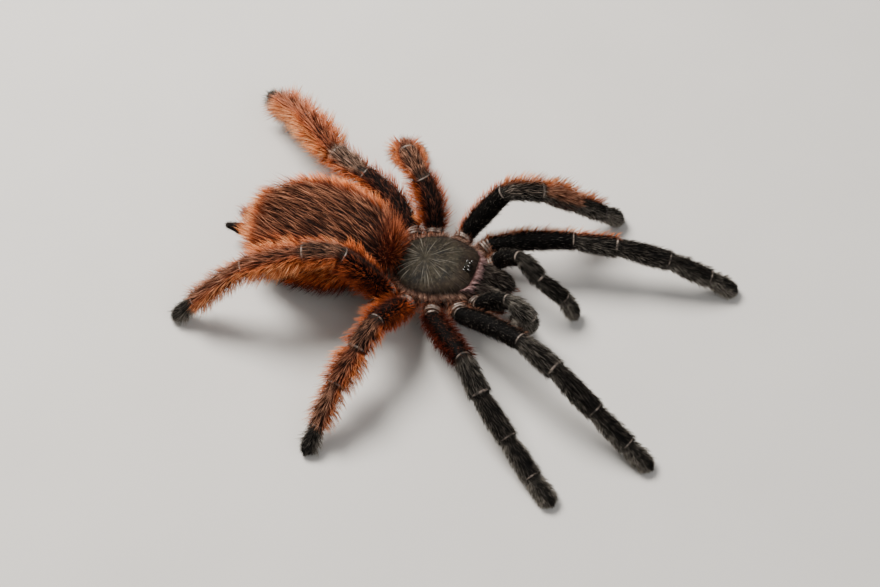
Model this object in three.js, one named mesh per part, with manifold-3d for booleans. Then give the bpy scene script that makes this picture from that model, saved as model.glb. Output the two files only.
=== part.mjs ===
// A tarantula resting on level ground, modelled at life size in millimetres.
// It faces -Y, its left side is +X and +Z is up. Every solid reaches out to the tips of the coat.
import * as THREE from 'three';
import { mergeVertices } from 'three/addons/utils/BufferGeometryUtils.js';
import Module from 'manifold-3d';

const wasm = await Module();
wasm.setup();

// Gaps between solids that meet, and how finely the shapes are faceted.
const JOINT_GAP = 0.3;
const EYE_GAP = 0.08;
const LEG_SIDES = 10;
const HIP_SIDES = 8;
const JAW_SIDES = 10;
const FINGER_SIDES = 7;
const BODY_SIDES = 20;
const BODY_RINGS = 11;
const WELD = 1e-5;

// How far every foot's coat dips below the ground, where it is cut flat.
const FLAT_DEPTH = 0.18;

// The shield over the head and chest: a low dome with a rim below, tipped up at the front. The
// head end is narrower and higher and cut off straight, its edge dropped over the jaws, and a
// small pit marks the middle.
const SHIELD = { length: 19.2, width: 15.8, dome: 3.5, rim: 1.3, height: 8.2, pitch: 7, roundness: 0.8 };
const HEAD = { rise: 1.25, narrowing: 0.28, drop: 1.2, reach: 9.4, corners: 6 };
const PIT = { depth: 0.5, behind: 0.22, length: 0.12, width: 0.1 };

// Mound of the eyes near the front of the shield, and its eyes, four to a side in two rows.
const MOUND = { forward: 7.2, width: 2.8, length: 2, height: 1.5, sides: 10 };
const EYE_SIDES = 6;
const EYES = [
  { across: 0.42, forward: 0.45, up: 0.42, radius: 0.36 },
  { across: 1.12, forward: 0.62, up: 0.1, radius: 0.36 },
  { across: 0.78, forward: -0.3, up: 0.34, radius: 0.27 },
  { across: 1.24, forward: -0.42, up: 0.05, radius: 0.32 },
];

// Jaws: two swollen segments side by side under the front of the shield, each with a fang
// folded back beneath it. The jaw's outline is its radius and reach as shares of its size.
const JAW = { across: 2.55, back: -8.4, height: 7.3, length: 8.5, width: 2.5, depth: 3.05, droop: 16 };
const JAW_OUTLINE = [
  [0, -0.19], [0.6, -0.14], [0.86, 0], [1, 0.3], [0.96, 0.6], [0.78, 0.84], [0.42, 0.97], [0, 1],
];
const FANG = { length: 4.8, base: 0.75, tip: 0.28, curl: 50, steps: 4, seat: 0.86, sunk: 0.72 };
const FANG_AIM = { inward: 0.1, back: 0.75, down: 0.65 };

// Underside of the front half: a breastplate with ten hip segments round it.
const BREAST = { width: 8.6, length: 14.5, depth: 5.2, height: 5.4, sides: 10 };
const HIP = { root: 1.9, end: 2.4, overrun: 1.6 };

// Hind half of the body: an egg set off to one side, with its waist and two spinnerets.
const ABDOMEN = { length: 34.8, width: 25, depth: 20, height: 10.6, middle: 24.2, aside: 1.1 };
const ABDOMEN_LIE = { turn: 4, pitch: -2, fullness: 0.1, taper: 0.06, belly: 0.94, clearance: 0.2 };
const WAIST = { radius: 2.1, from: 7.5, height: 6.6, length: 6 };
const SPINNERET = { across: 1.3, height: 5.8, length: 8.4, radius: 1.05, spread: 3, inset: 3.2 };
const SPINNERET_RISE = { left: -8, right: 30 };
const SPINNERET_OUTLINE = [
  [0, 0], [1, 0], [1.1, 0.3], [0.88, 0.36], [0.95, 0.62], [0.72, 0.68], [0.66, 0.88], [0, 1],
];

// Each kind of limb: where it leaves its hip (across, along, up), where that hip is rooted in
// the breastplate, then for every segment its length and its half width and half depth with
// the coat on, and for the femur how far it arches.
const LIMBS = {
  leg_1: {
    hip: [9.4, -8.4, 7.8],
    root: [3.2, -4.6, 5.8],
    femur: [18.5, 2.5, 2.55, 1],
    patella: [9, 2.6, 2.35],
    tibia: [11.5, 2.7, 2.3],
    metatarsus: [9.5, 2.5, 2.1],
    tarsus: [7, 2.3, 2],
  },
  leg_2: {
    hip: [11.2, -2.7, 7],
    root: [3.6, -1.4, 5.6],
    femur: [16, 3.1, 2.6, -0.2],
    patella: [8, 2.7, 2.35],
    tibia: [10.5, 2.95, 2.35],
    metatarsus: [9.2, 2.6, 2.05],
    tarsus: [7, 2.35, 1.95],
  },
  leg_3: {
    hip: [10.6, 3.4, 6.8],
    root: [3.4, 2, 5.5],
    femur: [12.6, 3.4, 3, 0.6],
    patella: [6.9, 3.2, 2.8],
    tibia: [8.8, 3.9, 3.2],
    metatarsus: [9, 3.1, 2.7],
    tarsus: [6.2, 2.5, 2.1],
  },
  leg_4: {
    hip: [8.8, 8.4, 6.8],
    root: [2.8, 4.4, 5.6],
    femur: [16, 4.1, 3.4, 0.8],
    patella: [8, 3.6, 3.1],
    tibia: [13.2, 4.2, 3.5],
    metatarsus: [14.6, 3.9, 3.3],
    tarsus: [7, 2.6, 2.2],
  },
  palp: {
    hip: [5.6, -11.3, 7.4],
    root: [2.6, -5.6, 5],
    femur: [9.6, 2.1, 2.2, 0.5],
    patella: [6.2, 2.3, 2.1],
    tibia: [7.5, 2.2, 2],
    tarsus: [6.6, 2.1, 1.9],
  },
};

// Pose of each limb in degrees. Turns run from straight out to the side towards the tail,
// one for the femur and patella and one for the rest. Slopes are for every segment but the
// foot, which always comes down to the ground.
const POSES = [
  { limb: 'leg_1', side: 'left', turns: [-75, -83], slopes: [10, -8, -9, -24] },
  { limb: 'leg_1', side: 'right', turns: [-66, -71], slopes: [23, -6, -29, -30] },
  { limb: 'leg_2', side: 'left', turns: [-64, -51], slopes: [59, -13, -43, -44] },
  { limb: 'leg_2', side: 'right', turns: [-45, -53], slopes: [17, -21, -20, -19] },
  { limb: 'leg_3', side: 'left', turns: [48, 9], slopes: [54, 14, -60, -54] },
  { limb: 'leg_3', side: 'right', turns: [15, 11], slopes: [34, -19, -12, -39] },
  { limb: 'leg_4', side: 'left', turns: [67, 49], slopes: [27, -1, -8, -31] },
  { limb: 'leg_4', side: 'right', turns: [75, 65], slopes: [57, -8, -14, -45] },
  { limb: 'palp', side: 'left', turns: [-107, -89], slopes: [51, -40, -39] },
  { limb: 'palp', side: 'right', turns: [-80, 140], slopes: [44, -33, -66] },
];

// How each kind of segment swells: its width at the near joint, where along it is widest, and
// its width at the far joint, as shares of its full width and length.
const SWELL = {
  femur: { near: 0.8, peak: 0.5, far: 0.86, rows: [0, 0.3, 0.7, 1] },
  patella: { near: 0.88, peak: 0.55, far: 0.95, rows: [0, 0.55, 1] },
  tibia: { near: 0.88, peak: 0.5, far: 0.86, rows: [0, 0.5, 1] },
  metatarsus: { near: 0.9, peak: 0.5, far: 0.84, rows: [0, 0.5, 1] },
};

// The foot's radius and reach as shares of its size, from its joint to its blunt end.
const FOOT_OUTLINE = [[0.86, 0], [1, 0.45], [0.8, 0.82], [0.45, 1], [0, 1.04]];

// How a segment rounds off past a joint, as shares of its half width there.
const CAP = { ring: 0.72, ringReach: 0.55, reach: 0.8 };

const LOOKS = {
  shield: { color: 0x2a2c22, roughness: 0.6 },
  black_coat: { color: 0x15140f, roughness: 0.85 },
  orange_coat: { color: 0xa8431c, roughness: 0.9 },
  brown_coat: { color: 0x4a2f24, roughness: 0.9 },
  eyes: { color: 0x0a0a0a, roughness: 0.15 },
  fangs: { color: 0x120c0a, roughness: 0.3 },
};

const UP = new THREE.Vector3(0, 0, 1);
const radians = THREE.MathUtils.degToRad;
const { clamp } = THREE.MathUtils;

function smooth(x) {
  const t = clamp(x, 0, 1);
  return t * t * (3 - 2 * t);
}

// Welds a geometry's seams and poles and hands it over as a closed solid.
function closed(geometry) {
  const bare = new THREE.BufferGeometry();
  bare.setAttribute('position', geometry.getAttribute('position'));
  bare.setIndex(geometry.getIndex());
  const welded = mergeVertices(bare, WELD);
  const index = welded.getIndex().array;
  const kept = [];
  for (let corner = 0; corner < index.length; corner += 3) {
    const [a, b, c] = [index[corner], index[corner + 1], index[corner + 2]];
    if (a !== b && b !== c && c !== a) {
      kept.push(a, b, c);
    }
  }
  const mesh = new wasm.Mesh({
    numProp: 3,
    vertProperties: new Float32Array(welded.getAttribute('position').array),
    triVerts: new Uint32Array(kept),
  });
  return new wasm.Manifold(mesh);
}

// Keeps the largest piece of a cut solid, so that no crumbs stay behind.
function largest(solid) {
  const pieces = solid.decompose();
  pieces.sort((a, b) => b.volume() - a.volume());
  return pieces[0];
}

// Keeps what lies before a joint's plane, half a gap short of it.
function cutBeyond(solid, joint, direction, gap) {
  const n = direction;
  return solid.trimByPlane([-n.x, -n.y, -n.z], -n.dot(joint) + gap / 2);
}

// Keeps what lies beyond a joint's plane, half a gap clear of it.
function cutBefore(solid, joint, direction, gap) {
  const n = direction;
  return solid.trimByPlane([n.x, n.y, n.z], n.dot(joint) + gap / 2);
}

// A turned solid along +Y from an outline of radius and reach shares.
function turned(outline, length, sides) {
  return new THREE.LatheGeometry(outline.map(([r, y]) => new THREE.Vector2(r, y * length)), sides);
}

// Moves each point of a geometry to where the given function puts it.
function reshape(geometry, place) {
  const position = geometry.getAttribute('position');
  for (let i = 0; i < position.count; i += 1) {
    position.setXYZ(i, ...place(position.getX(i), position.getY(i), position.getZ(i)));
  }
  return geometry;
}

// Direction of a segment from its side of the body, its turn and its slope.
function heading(sign, turn, slope) {
  const t = radians(turn);
  const s = radians(slope);
  return new THREE.Vector3(sign * Math.cos(t) * Math.cos(s), Math.sin(t) * Math.cos(s), Math.sin(s));
}

// Axes for a shape that runs along a direction, with its depth as upright as can be.
function frameAlong(direction, origin) {
  const across = new THREE.Vector3().crossVectors(direction, UP).normalize();
  const depth = new THREE.Vector3().crossVectors(across, direction);
  return new THREE.Matrix4().makeBasis(across, direction, depth).setPosition(origin);
}

// A swelling limb segment along +Y, rounded past both ends, as wide and deep as asked.
function segmentGeometry(length, halfWidth, halfDepth, bow, swell) {
  const mean = (halfWidth + halfDepth) / 2;
  const nearReach = mean * swell.near;
  const farReach = mean * swell.far;
  const share = (t) => (t < swell.peak
    ? swell.near + (1 - swell.near) * smooth(t / swell.peak)
    : 1 + (swell.far - 1) * smooth((t - swell.peak) / (1 - swell.peak)));
  const profile = [
    new THREE.Vector2(0, -CAP.reach * nearReach),
    new THREE.Vector2(CAP.ring * swell.near, -CAP.ringReach * nearReach),
    ...swell.rows.map((t) => new THREE.Vector2(share(t), t * length)),
    new THREE.Vector2(CAP.ring * swell.far, length + CAP.ringReach * farReach),
    new THREE.Vector2(0, length + CAP.reach * farReach),
  ];
  const shape = new THREE.LatheGeometry(profile, LEG_SIDES).scale(halfWidth, 1, halfDepth);
  return reshape(shape, (x, y, z) => [x, y, z + bow * Math.sin(Math.PI * clamp(y / length, 0, 1))]);
}

// The foot: a segment whose far end is blunt and reaches only just past its length.
function footGeometry(length, halfWidth, halfDepth) {
  const [[near]] = FOOT_OUTLINE;
  const overlap = (near * halfDepth) / length;
  const start = [[0, -CAP.reach * overlap], [CAP.ring * near, -CAP.ringReach * overlap]];
  return turned([...start, ...FOOT_OUTLINE], length, LEG_SIDES).scale(halfWidth, 1, halfDepth);
}

// Slope in degrees at which a foot's coat just dips below the ground, found by halving.
function footSlope(height, length, halfDepth) {
  const lowest = (slope) => {
    const s = radians(slope);
    return Math.min(...FOOT_OUTLINE.map(([r, y]) => y * length * Math.sin(s) - r * halfDepth * Math.cos(s)));
  };
  let [steep, shallow] = [-90, 0];
  for (let round = 0; round < 20; round += 1) {
    const middle = (steep + shallow) / 2;
    if (height + lowest(middle) < -FLAT_DEPTH) {
      steep = middle;
    } else {
      shallow = middle;
    }
  }
  return steep;
}

// Joints and directions of one posed limb, from the hip to the tip of the foot.
function layLimb(pose) {
  const { hip, root, ...segments } = LIMBS[pose.limb];
  const sign = pose.side === 'left' ? 1 : -1;
  const names = Object.keys(segments);
  const start = new THREE.Vector3(sign * hip[0], hip[1], hip[2]);
  const seat = new THREE.Vector3(sign * root[0], root[1], root[2]);
  const joints = [start];
  const directions = [];
  names.forEach((name, i) => {
    const [length, , halfDepth] = segments[name];
    const slope = name === 'tarsus' ? footSlope(joints[i].z, length, halfDepth) : pose.slopes[i];
    const direction = heading(sign, pose.turns[i < 2 ? 0 : 1], slope);
    directions.push(direction);
    joints.push(joints[i].clone().addScaledVector(direction, length));
  });
  const hipDirection = start.clone().sub(seat).normalize();
  return { label: `${pose.limb}_${pose.side}`, segments, names, joints, directions, seat, hipDirection };
}

const laidLimbs = POSES.map(layLimb);

// One segment of a laid limb, mitred at its joints and cut off level with the ground.
function segmentSolid(laid, i, grow) {
  const name = laid.names[i];
  const [length, halfWidth, halfDepth, bow = 0] = laid.segments[name];
  const isFoot = name === 'tarsus';
  const gap = JOINT_GAP - 2 * grow;
  const shape = isFoot
    ? footGeometry(length, halfWidth + grow, halfDepth + grow)
    : segmentGeometry(length, halfWidth + grow, halfDepth + grow, bow, SWELL[name]);
  shape.applyMatrix4(frameAlong(laid.directions[i], laid.joints[i]));
  const before = i === 0 ? laid.hipDirection : laid.directions[i - 1];
  const near = before.clone().add(laid.directions[i]).normalize();
  let solid = cutBefore(closed(shape), laid.joints[i], near, gap);
  if (!isFoot) {
    const far = laid.directions[i].clone().add(laid.directions[i + 1]).normalize();
    solid = cutBeyond(solid, laid.joints[i + 1], far, gap);
  }
  return solid.trimByPlane([0, 0, 1], 0);
}

// Puts a shape built round the shield's middle into the tipped-up front of the body.
function tipUp(geometry) {
  return geometry.rotateX(-radians(SHIELD.pitch)).translate(0, 0, SHIELD.height);
}

// Height of the shield's dome on its middle line, as the head rises towards the front.
function domeHeight(ahead) {
  return SHIELD.dome + HEAD.rise * smooth((ahead + 0.1) / 0.8);
}

function shieldSolid(grow) {
  const ball = new THREE.SphereGeometry(1, BODY_SIDES, BODY_RINGS).rotateX(Math.PI / 2);
  const shape = reshape(ball, (x, y, z) => {
    const ahead = smooth((-y - 0.1) / 0.9);
    const power = 2 + (HEAD.corners - 2) * ahead;
    const out = Math.hypot(x, y) || 1;
    const square = (Math.abs(x / out) ** power + Math.abs(y / out) ** power) ** (-1 / power) || 1;
    const width = (SHIELD.width / 2 + grow) * (1 - HEAD.narrowing * ahead);
    const reach = (y < 0 ? HEAD.reach : SHIELD.length / 2) + grow;
    const drop = HEAD.drop * ahead;
    const height = (z > 0 ? domeHeight(-y) + drop : SHIELD.rim) + grow;
    const fromPit = ((y - PIT.behind) / PIT.length) ** 2 + (x / PIT.width) ** 2;
    const pit = z > 0 ? PIT.depth * Math.exp(-fromPit) : 0;
    return [
      x * square * width,
      y * square * reach,
      Math.sign(z) * Math.abs(z) ** SHIELD.roundness * height - pit - drop,
    ];
  });
  return closed(tipUp(shape));
}

function eyeSolid(grow) {
  const ahead = MOUND.forward / HEAD.reach;
  const drop = HEAD.drop * smooth((ahead - 0.1) / 0.9);
  const top = (domeHeight(ahead) + drop) * Math.sqrt(1 - ahead ** 2) ** SHIELD.roundness - drop;
  const ball = (radius, sides) => new THREE.SphereGeometry(radius + grow, sides, sides / 2);
  const hill = ball(1, MOUND.sides).scale(MOUND.width / 2, MOUND.length / 2, MOUND.height);
  let solid = closed(tipUp(hill.translate(0, -MOUND.forward, top - MOUND.height / 2)));
  EYES.forEach((eye) => {
    [1, -1].forEach((sign) => {
      const bead = ball(eye.radius, EYE_SIDES);
      bead.translate(sign * eye.across, -MOUND.forward - eye.forward, top + eye.up);
      solid = solid.add(closed(tipUp(bead)));
    });
  });
  return solid;
}

function jawDirection() {
  const droop = radians(JAW.droop);
  return new THREE.Vector3(0, -Math.cos(droop), -Math.sin(droop));
}

function jawSolid(sign, grow) {
  const shape = turned(JAW_OUTLINE, JAW.length, JAW_SIDES).scale(JAW.width + grow, 1, JAW.depth + grow);
  const seat = new THREE.Vector3(sign * JAW.across, JAW.back, JAW.height);
  shape.applyMatrix4(frameAlong(jawDirection(), seat));
  const middle = new THREE.Vector3();
  return cutBefore(closed(shape), middle, new THREE.Vector3(sign, 0, 0), JOINT_GAP - 2 * grow);
}

// A tapering fang, curling from downward to backward under the end of its jaw.
function fangSolid(sign, grow) {
  const outline = [[0, -0.06]];
  for (let i = 0; i <= FANG.steps; i += 1) {
    const t = i / FANG.steps;
    outline.push([FANG.base + (FANG.tip - FANG.base) * t + grow, t]);
  }
  outline.push([0, 1.05]);
  const bend = radians(FANG.curl) / FANG.length;
  const shape = reshape(turned(outline, FANG.length, FINGER_SIDES), (x, y, z) => {
    const inward = 1 / bend - z;
    return [x, Math.sin(y * bend) * inward, 1 / bend - Math.cos(y * bend) * inward];
  });
  const seat = new THREE.Vector3(sign * JAW.across, JAW.back, JAW.height - JAW.depth * FANG.sunk);
  seat.addScaledVector(jawDirection(), JAW.length * FANG.seat);
  const aim = new THREE.Vector3(-sign * FANG_AIM.inward, FANG_AIM.back, -FANG_AIM.down).normalize();
  shape.applyMatrix4(frameAlong(aim, seat));
  return closed(shape);
}

// Breastplate and ten hips, joined in one solid that stops short of the limbs.
function underbodySolid(grow) {
  const plate = new THREE.SphereGeometry(1, BREAST.sides, BREAST.sides / 2).rotateX(Math.PI / 2);
  plate.scale(BREAST.width / 2 + grow, BREAST.length / 2 + grow, BREAST.depth / 2 + grow);
  let solid = closed(plate.translate(0, 0, BREAST.height));
  laidLimbs.forEach((laid) => {
    const joint = laid.joints[0];
    const reach = joint.distanceTo(laid.seat) + HIP.overrun;
    const shape = new THREE.CylinderGeometry(HIP.end + grow, HIP.root + grow, reach, HIP_SIDES);
    shape.translate(0, reach / 2, 0);
    shape.applyMatrix4(frameAlong(laid.hipDirection, laid.seat));
    const far = laid.hipDirection.clone().add(laid.directions[0]).normalize();
    solid = solid.add(cutBeyond(closed(shape), joint, far, JOINT_GAP - 2 * grow));
  });
  return solid;
}

// Where the abdomen's middle is, and the way its tail end points.
function abdomenLie() {
  const turn = radians(ABDOMEN_LIE.turn);
  const pitch = radians(ABDOMEN_LIE.pitch);
  const level = new THREE.Vector3(-Math.sin(turn), Math.cos(turn), 0);
  const back = level.multiplyScalar(Math.cos(pitch)).addScaledVector(UP, Math.sin(pitch));
  return { back, middle: new THREE.Vector3(-ABDOMEN.aside, ABDOMEN.middle, ABDOMEN.height) };
}

// The abdomen: an egg, widest behind its middle and a little flatter below.
function abdomenSolid(grow) {
  const { back, middle } = abdomenLie();
  const ball = new THREE.SphereGeometry(1, BODY_SIDES, BODY_RINGS);
  const shape = reshape(ball, (x, y, z) => {
    const full = 1 + ABDOMEN_LIE.fullness * y - ABDOMEN_LIE.taper * y * y;
    const flat = z < 0 ? ABDOMEN_LIE.belly : 1;
    return [
      x * full * (ABDOMEN.width / 2 + grow),
      y * (ABDOMEN.length / 2 + grow),
      z * full * flat * (ABDOMEN.depth / 2 + grow),
    ];
  });
  shape.applyMatrix4(frameAlong(back, middle));
  return closed(shape).trimByPlane([0, 0, 1], ABDOMEN_LIE.clearance);
}

function waistSolid(grow) {
  const radius = WAIST.radius + grow;
  const shape = new THREE.CylinderGeometry(radius, radius, WAIST.length, LEG_SIDES);
  return closed(shape.translate(0, WAIST.from + WAIST.length / 2, WAIST.height));
}

// A spinneret: three short finger joints trailing behind the abdomen, the right one raised.
function spinneretSolid(sign, grow) {
  const { back, middle } = abdomenLie();
  const radius = SPINNERET.radius + grow;
  const shape = turned(SPINNERET_OUTLINE, SPINNERET.length, FINGER_SIDES).scale(radius, 1, radius);
  const rise = radians(sign > 0 ? SPINNERET_RISE.left : SPINNERET_RISE.right);
  const aim = back.clone().applyAxisAngle(new THREE.Vector3(1, 0, 0), rise);
  aim.applyAxisAngle(UP, -sign * radians(SPINNERET.spread));
  const seat = middle.clone().addScaledVector(back, ABDOMEN.length / 2 - SPINNERET.inset);
  seat.x += sign * SPINNERET.across;
  seat.z = SPINNERET.height;
  shape.applyMatrix4(frameAlong(aim, seat));
  return closed(shape);
}

// Every node in the order it takes its room: later ones are cut clear of earlier ones, save
// the one it is mitred against. A grown copy of each solid clears the gap.
const plan = [
  { name: 'carapace', group: 'front', look: 'shield', make: shieldSolid },
  { name: 'eye_mound', group: 'front', look: 'eyes', make: eyeSolid, gap: EYE_GAP },
  { name: 'chelicera_left', group: 'front', look: 'black_coat', make: (grow) => jawSolid(1, grow) },
  {
    name: 'chelicera_right',
    group: 'front',
    look: 'black_coat',
    make: (grow) => jawSolid(-1, grow),
    mitred: 'chelicera_left',
  },
  { name: 'fang_left', group: 'front', look: 'fangs', make: (grow) => fangSolid(1, grow) },
  { name: 'fang_right', group: 'front', look: 'fangs', make: (grow) => fangSolid(-1, grow) },
  { name: 'underbody', group: 'front', look: 'brown_coat', make: underbodySolid },
  { name: 'waist', group: 'hind', look: 'brown_coat', make: waistSolid },
  { name: 'abdomen', group: 'hind', look: 'brown_coat', make: abdomenSolid },
  { name: 'spinneret_left', group: 'hind', look: 'black_coat', make: (grow) => spinneretSolid(1, grow) },
  { name: 'spinneret_right', group: 'hind', look: 'black_coat', make: (grow) => spinneretSolid(-1, grow) },
];
laidLimbs.forEach((laid) => {
  const isHind = laid.label.startsWith('leg_3') || laid.label.startsWith('leg_4');
  laid.names.forEach((segment, i) => {
    plan.push({
      name: `${laid.label}_${segment}`,
      group: laid.label,
      look: isHind && segment !== 'tarsus' ? 'orange_coat' : 'black_coat',
      make: (grow) => segmentSolid(laid, i, grow),
      mitred: i === 0 ? 'underbody' : `${laid.label}_${laid.names[i - 1]}`,
    });
  });
});

function boxesMeet(a, b) {
  return [0, 1, 2].every((k) => a.min[k] <= b.max[k] && b.min[k] <= a.max[k]);
}

// Builds one node's solid, cut clear of every node before it.
function settle(node, earlier) {
  let solid = node.make(0);
  earlier.forEach((other) => {
    if (other.name !== node.mitred && boxesMeet(solid.boundingBox(), other.box)) {
      solid = solid.subtract(other.make(node.gap ?? JOINT_GAP));
    }
  });
  return largest(solid);
}

// Turns a solid into a named mesh with its own material.
function toMesh(name, look, solid) {
  const { vertProperties, triVerts } = solid.getMesh();
  const geometry = new THREE.BufferGeometry();
  geometry.setAttribute('position', new THREE.BufferAttribute(new Float32Array(vertProperties), 3));
  geometry.setIndex(new THREE.BufferAttribute(new Uint32Array(triVerts), 1));
  geometry.computeVertexNormals();
  const mesh = new THREE.Mesh(geometry, new THREE.MeshStandardMaterial({ ...LOOKS[look], metalness: 0 }));
  mesh.name = name;
  return mesh;
}

// The spider's groups: the two halves of the body and one group for each limb.
const spider = new THREE.Group();
const groups = new Map();
const settled = [];
plan.forEach((node) => {
  const solid = settle(node, settled);
  settled.push({ ...node, box: solid.boundingBox() });
  if (!groups.has(node.group)) {
    groups.set(node.group, new THREE.Group());
    spider.add(groups.get(node.group));
  }
  groups.get(node.group).add(toMesh(node.name, node.look, solid));
});

// The spider stands with the middle of its outline over the origin and its feet on the ground.
const outline = new THREE.Box3().setFromObject(spider);
const centre = outline.getCenter(new THREE.Vector3());
spider.position.set(-centre.x, -centre.y, -outline.min.z);

const tarantula = new THREE.Group();
tarantula.add(spider);

export default tarantula;
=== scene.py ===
import math

import bmesh
import bpy
import numpy as np
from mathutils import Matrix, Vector
from mathutils.bvhtree import BVHTree
from mathutils.kdtree import KDTree


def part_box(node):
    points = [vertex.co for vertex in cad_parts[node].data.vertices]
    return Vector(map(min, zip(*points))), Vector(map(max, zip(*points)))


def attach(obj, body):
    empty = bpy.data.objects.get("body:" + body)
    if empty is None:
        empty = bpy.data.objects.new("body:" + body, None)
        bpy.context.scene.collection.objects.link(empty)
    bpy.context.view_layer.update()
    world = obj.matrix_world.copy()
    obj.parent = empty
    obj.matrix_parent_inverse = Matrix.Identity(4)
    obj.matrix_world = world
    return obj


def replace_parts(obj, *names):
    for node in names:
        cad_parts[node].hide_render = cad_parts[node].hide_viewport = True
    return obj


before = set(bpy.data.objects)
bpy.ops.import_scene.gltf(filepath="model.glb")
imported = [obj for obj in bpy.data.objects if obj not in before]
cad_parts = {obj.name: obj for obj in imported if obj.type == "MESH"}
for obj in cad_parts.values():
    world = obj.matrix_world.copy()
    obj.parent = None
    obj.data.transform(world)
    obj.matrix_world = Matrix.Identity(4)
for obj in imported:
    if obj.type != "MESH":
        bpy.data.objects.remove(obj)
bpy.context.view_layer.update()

# A life-size tarantula at rest. It faces -Y, its left side is +X and the ground is z = 0.
# Sizes in this script are in millimetres and angles in degrees, unless a name says otherwise.
MM = 0.001
UP = np.array([0.0, 0.0, 1.0])

# ---------------------------------------------------------------- camera, ground and lights

CAMERA = {"azimuth": -71.0, "elevation": 55.0, "distance": 458.6, "lens": 90.0, "sensor": 36.0}
CAMERA_AIM = (0.63, 1.68, 5.0)
SOFTBOXES = {
    "window": {"azimuth": 155.0, "elevation": 56.0, "distance": 600.0, "size": 300.0,
               "watts": 8.0, "colour": (1.0, 0.96, 0.91)},
    "bounce": {"azimuth": -30.0, "elevation": 45.0, "distance": 700.0, "size": 500.0,
               "watts": 1.4, "colour": (0.95, 0.97, 1.0)},
}
SKY = {"Color": (1.0, 0.98, 0.95, 1.0), "Strength": 0.3}
GROUND_REACH = 900.0


def add_object(name, data):
    thing = bpy.data.objects.new(name, data)
    bpy.context.scene.collection.objects.link(thing)
    return thing


def stand(thing, spot, aim=(0.0, 0.0, 0.0)):
    """Puts a camera or lamp at its bearing and distance from its aim, and turns it there."""
    a, e = math.radians(spot["azimuth"]), math.radians(spot["elevation"])
    back = Vector((math.sin(a) * math.cos(e), -math.cos(a) * math.cos(e), math.sin(e)))
    thing.location = (Vector(aim) + back * spot["distance"]) * MM
    thing.rotation_euler = back.to_track_quat("Z", "Y").to_euler()


def add_camera():
    camera = add_object("camera", bpy.data.cameras.new("camera"))
    camera.data.lens, camera.data.sensor_width = CAMERA["lens"], CAMERA["sensor"]
    stand(camera, CAMERA, CAMERA_AIM)
    bpy.context.scene.camera = camera


def add_studio():
    for name, softbox in SOFTBOXES.items():
        light = bpy.data.lights.new(name, "AREA")
        light.shape, light.size = "DISK", softbox["size"] * MM
        light.energy, light.color = softbox["watts"], softbox["colour"]
        stand(add_object(name, light), softbox)
    world = bpy.data.worlds.new("studio")
    bpy.context.scene.world = world
    world.use_nodes = True
    for name, value in SKY.items():
        world.node_tree.nodes["Background"].inputs[name].default_value = value


def add_ground():
    mesh = bpy.data.meshes.new("ground")
    reach = GROUND_REACH * MM
    corners = [(-reach, -reach, 0), (reach, -reach, 0), (reach, reach, 0), (-reach, reach, 0)]
    mesh.from_pydata(corners, [], [(0, 1, 2, 3)])
    mesh.materials.append(ground_finish())
    add_object("ground", mesh)


# ---------------------------------------------------------------------- nodes and arithmetic


def both_ways(operation):
    """An operator and its reflected form, each of which adds a Math node."""

    def plain(level, other):
        return level.math(operation, level, other)

    def reflected(level, other):
        return level.math(operation, other, level)

    return plain, reflected


class Level:
    """A value in a node tree that takes part in Python arithmetic."""

    __add__, __radd__ = both_ways("ADD")
    __sub__, __rsub__ = both_ways("SUBTRACT")
    __mul__, __rmul__ = both_ways("MULTIPLY")
    __truediv__, __rtruediv__ = both_ways("DIVIDE")
    __pow__, __rpow__ = both_ways("POWER")

    def __init__(self, bench, socket):
        self.bench, self.socket = bench, socket

    def math(self, operation, *values):
        settings, inputs = {"operation": operation}, dict(enumerate(values))
        return self.bench.level("ShaderNodeMath", settings, inputs, "Value")

    def least(self, other):
        return self.math("MINIMUM", self, other)

    def most(self, other):
        return self.math("MAXIMUM", self, other)

    def within(self, low, high):
        """0 below low, 1 above high, and smooth between."""
        settings = {"interpolation_type": "SMOOTHSTEP"}
        inputs = {"Value": self, "From Min": low, "From Max": high}
        return self.bench.level("ShaderNodeMapRange", settings, inputs, "Result")


class Bench:
    """Adds nodes to a tree: settings first, then the values or links of the inputs."""

    def __init__(self, tree):
        self.tree = tree

    def add(self, kind, settings=None, inputs=None):
        node = self.tree.nodes.new(kind)
        for name, value in (settings or {}).items():
            setattr(node, name, value)
        for key, value in (inputs or {}).items():
            socket = node.inputs[key] if isinstance(key, int) else self.opened(node.inputs, key)
            self.fill(socket, value)
        return node

    def fill(self, socket, value):
        if isinstance(value, Level):
            value = value.socket
        if isinstance(value, bpy.types.NodeSocket):
            self.tree.links.new(value, socket)
        else:
            socket.default_value = value

    @staticmethod
    def opened(sockets, name):
        return next(s for s in sockets if s.name == name and s.enabled)

    def level(self, kind, settings, inputs, output):
        return Level(self, self.opened(self.add(kind, settings, inputs).outputs, output))

    def vector(self, operation, *vectors, **numbers):
        inputs = dict(enumerate(vectors)) | numbers
        return self.add("ShaderNodeVectorMath", {"operation": operation}, inputs).outputs[0]

    def plus(self, first, *others):
        for other in others:
            first = self.vector("ADD", first, other)
        return first

    def times(self, vector, number):
        return self.vector("SCALE", vector, Scale=number)

    def joined(self, *numbers):
        """A vector from one to three numbers, the rest of them 0."""
        return self.add("ShaderNodeCombineXYZ", None, dict(enumerate(numbers))).outputs[0]

    def parts(self, vector):
        node = self.add("ShaderNodeSeparateXYZ", None, {0: vector})
        return [Level(self, part) for part in node.outputs]

    def mix(self, share, a, b, blend="MIX"):
        settings = {"data_type": "RGBA", "blend_type": blend}
        node = self.add("ShaderNodeMix", settings, {"Factor": share, "A": a, "B": b})
        return self.opened(node.outputs, "Result")


def rgb(red, green, blue):
    return (red, green, blue, 1.0)


# ------------------------------------------------------------------------------- finishes

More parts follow.
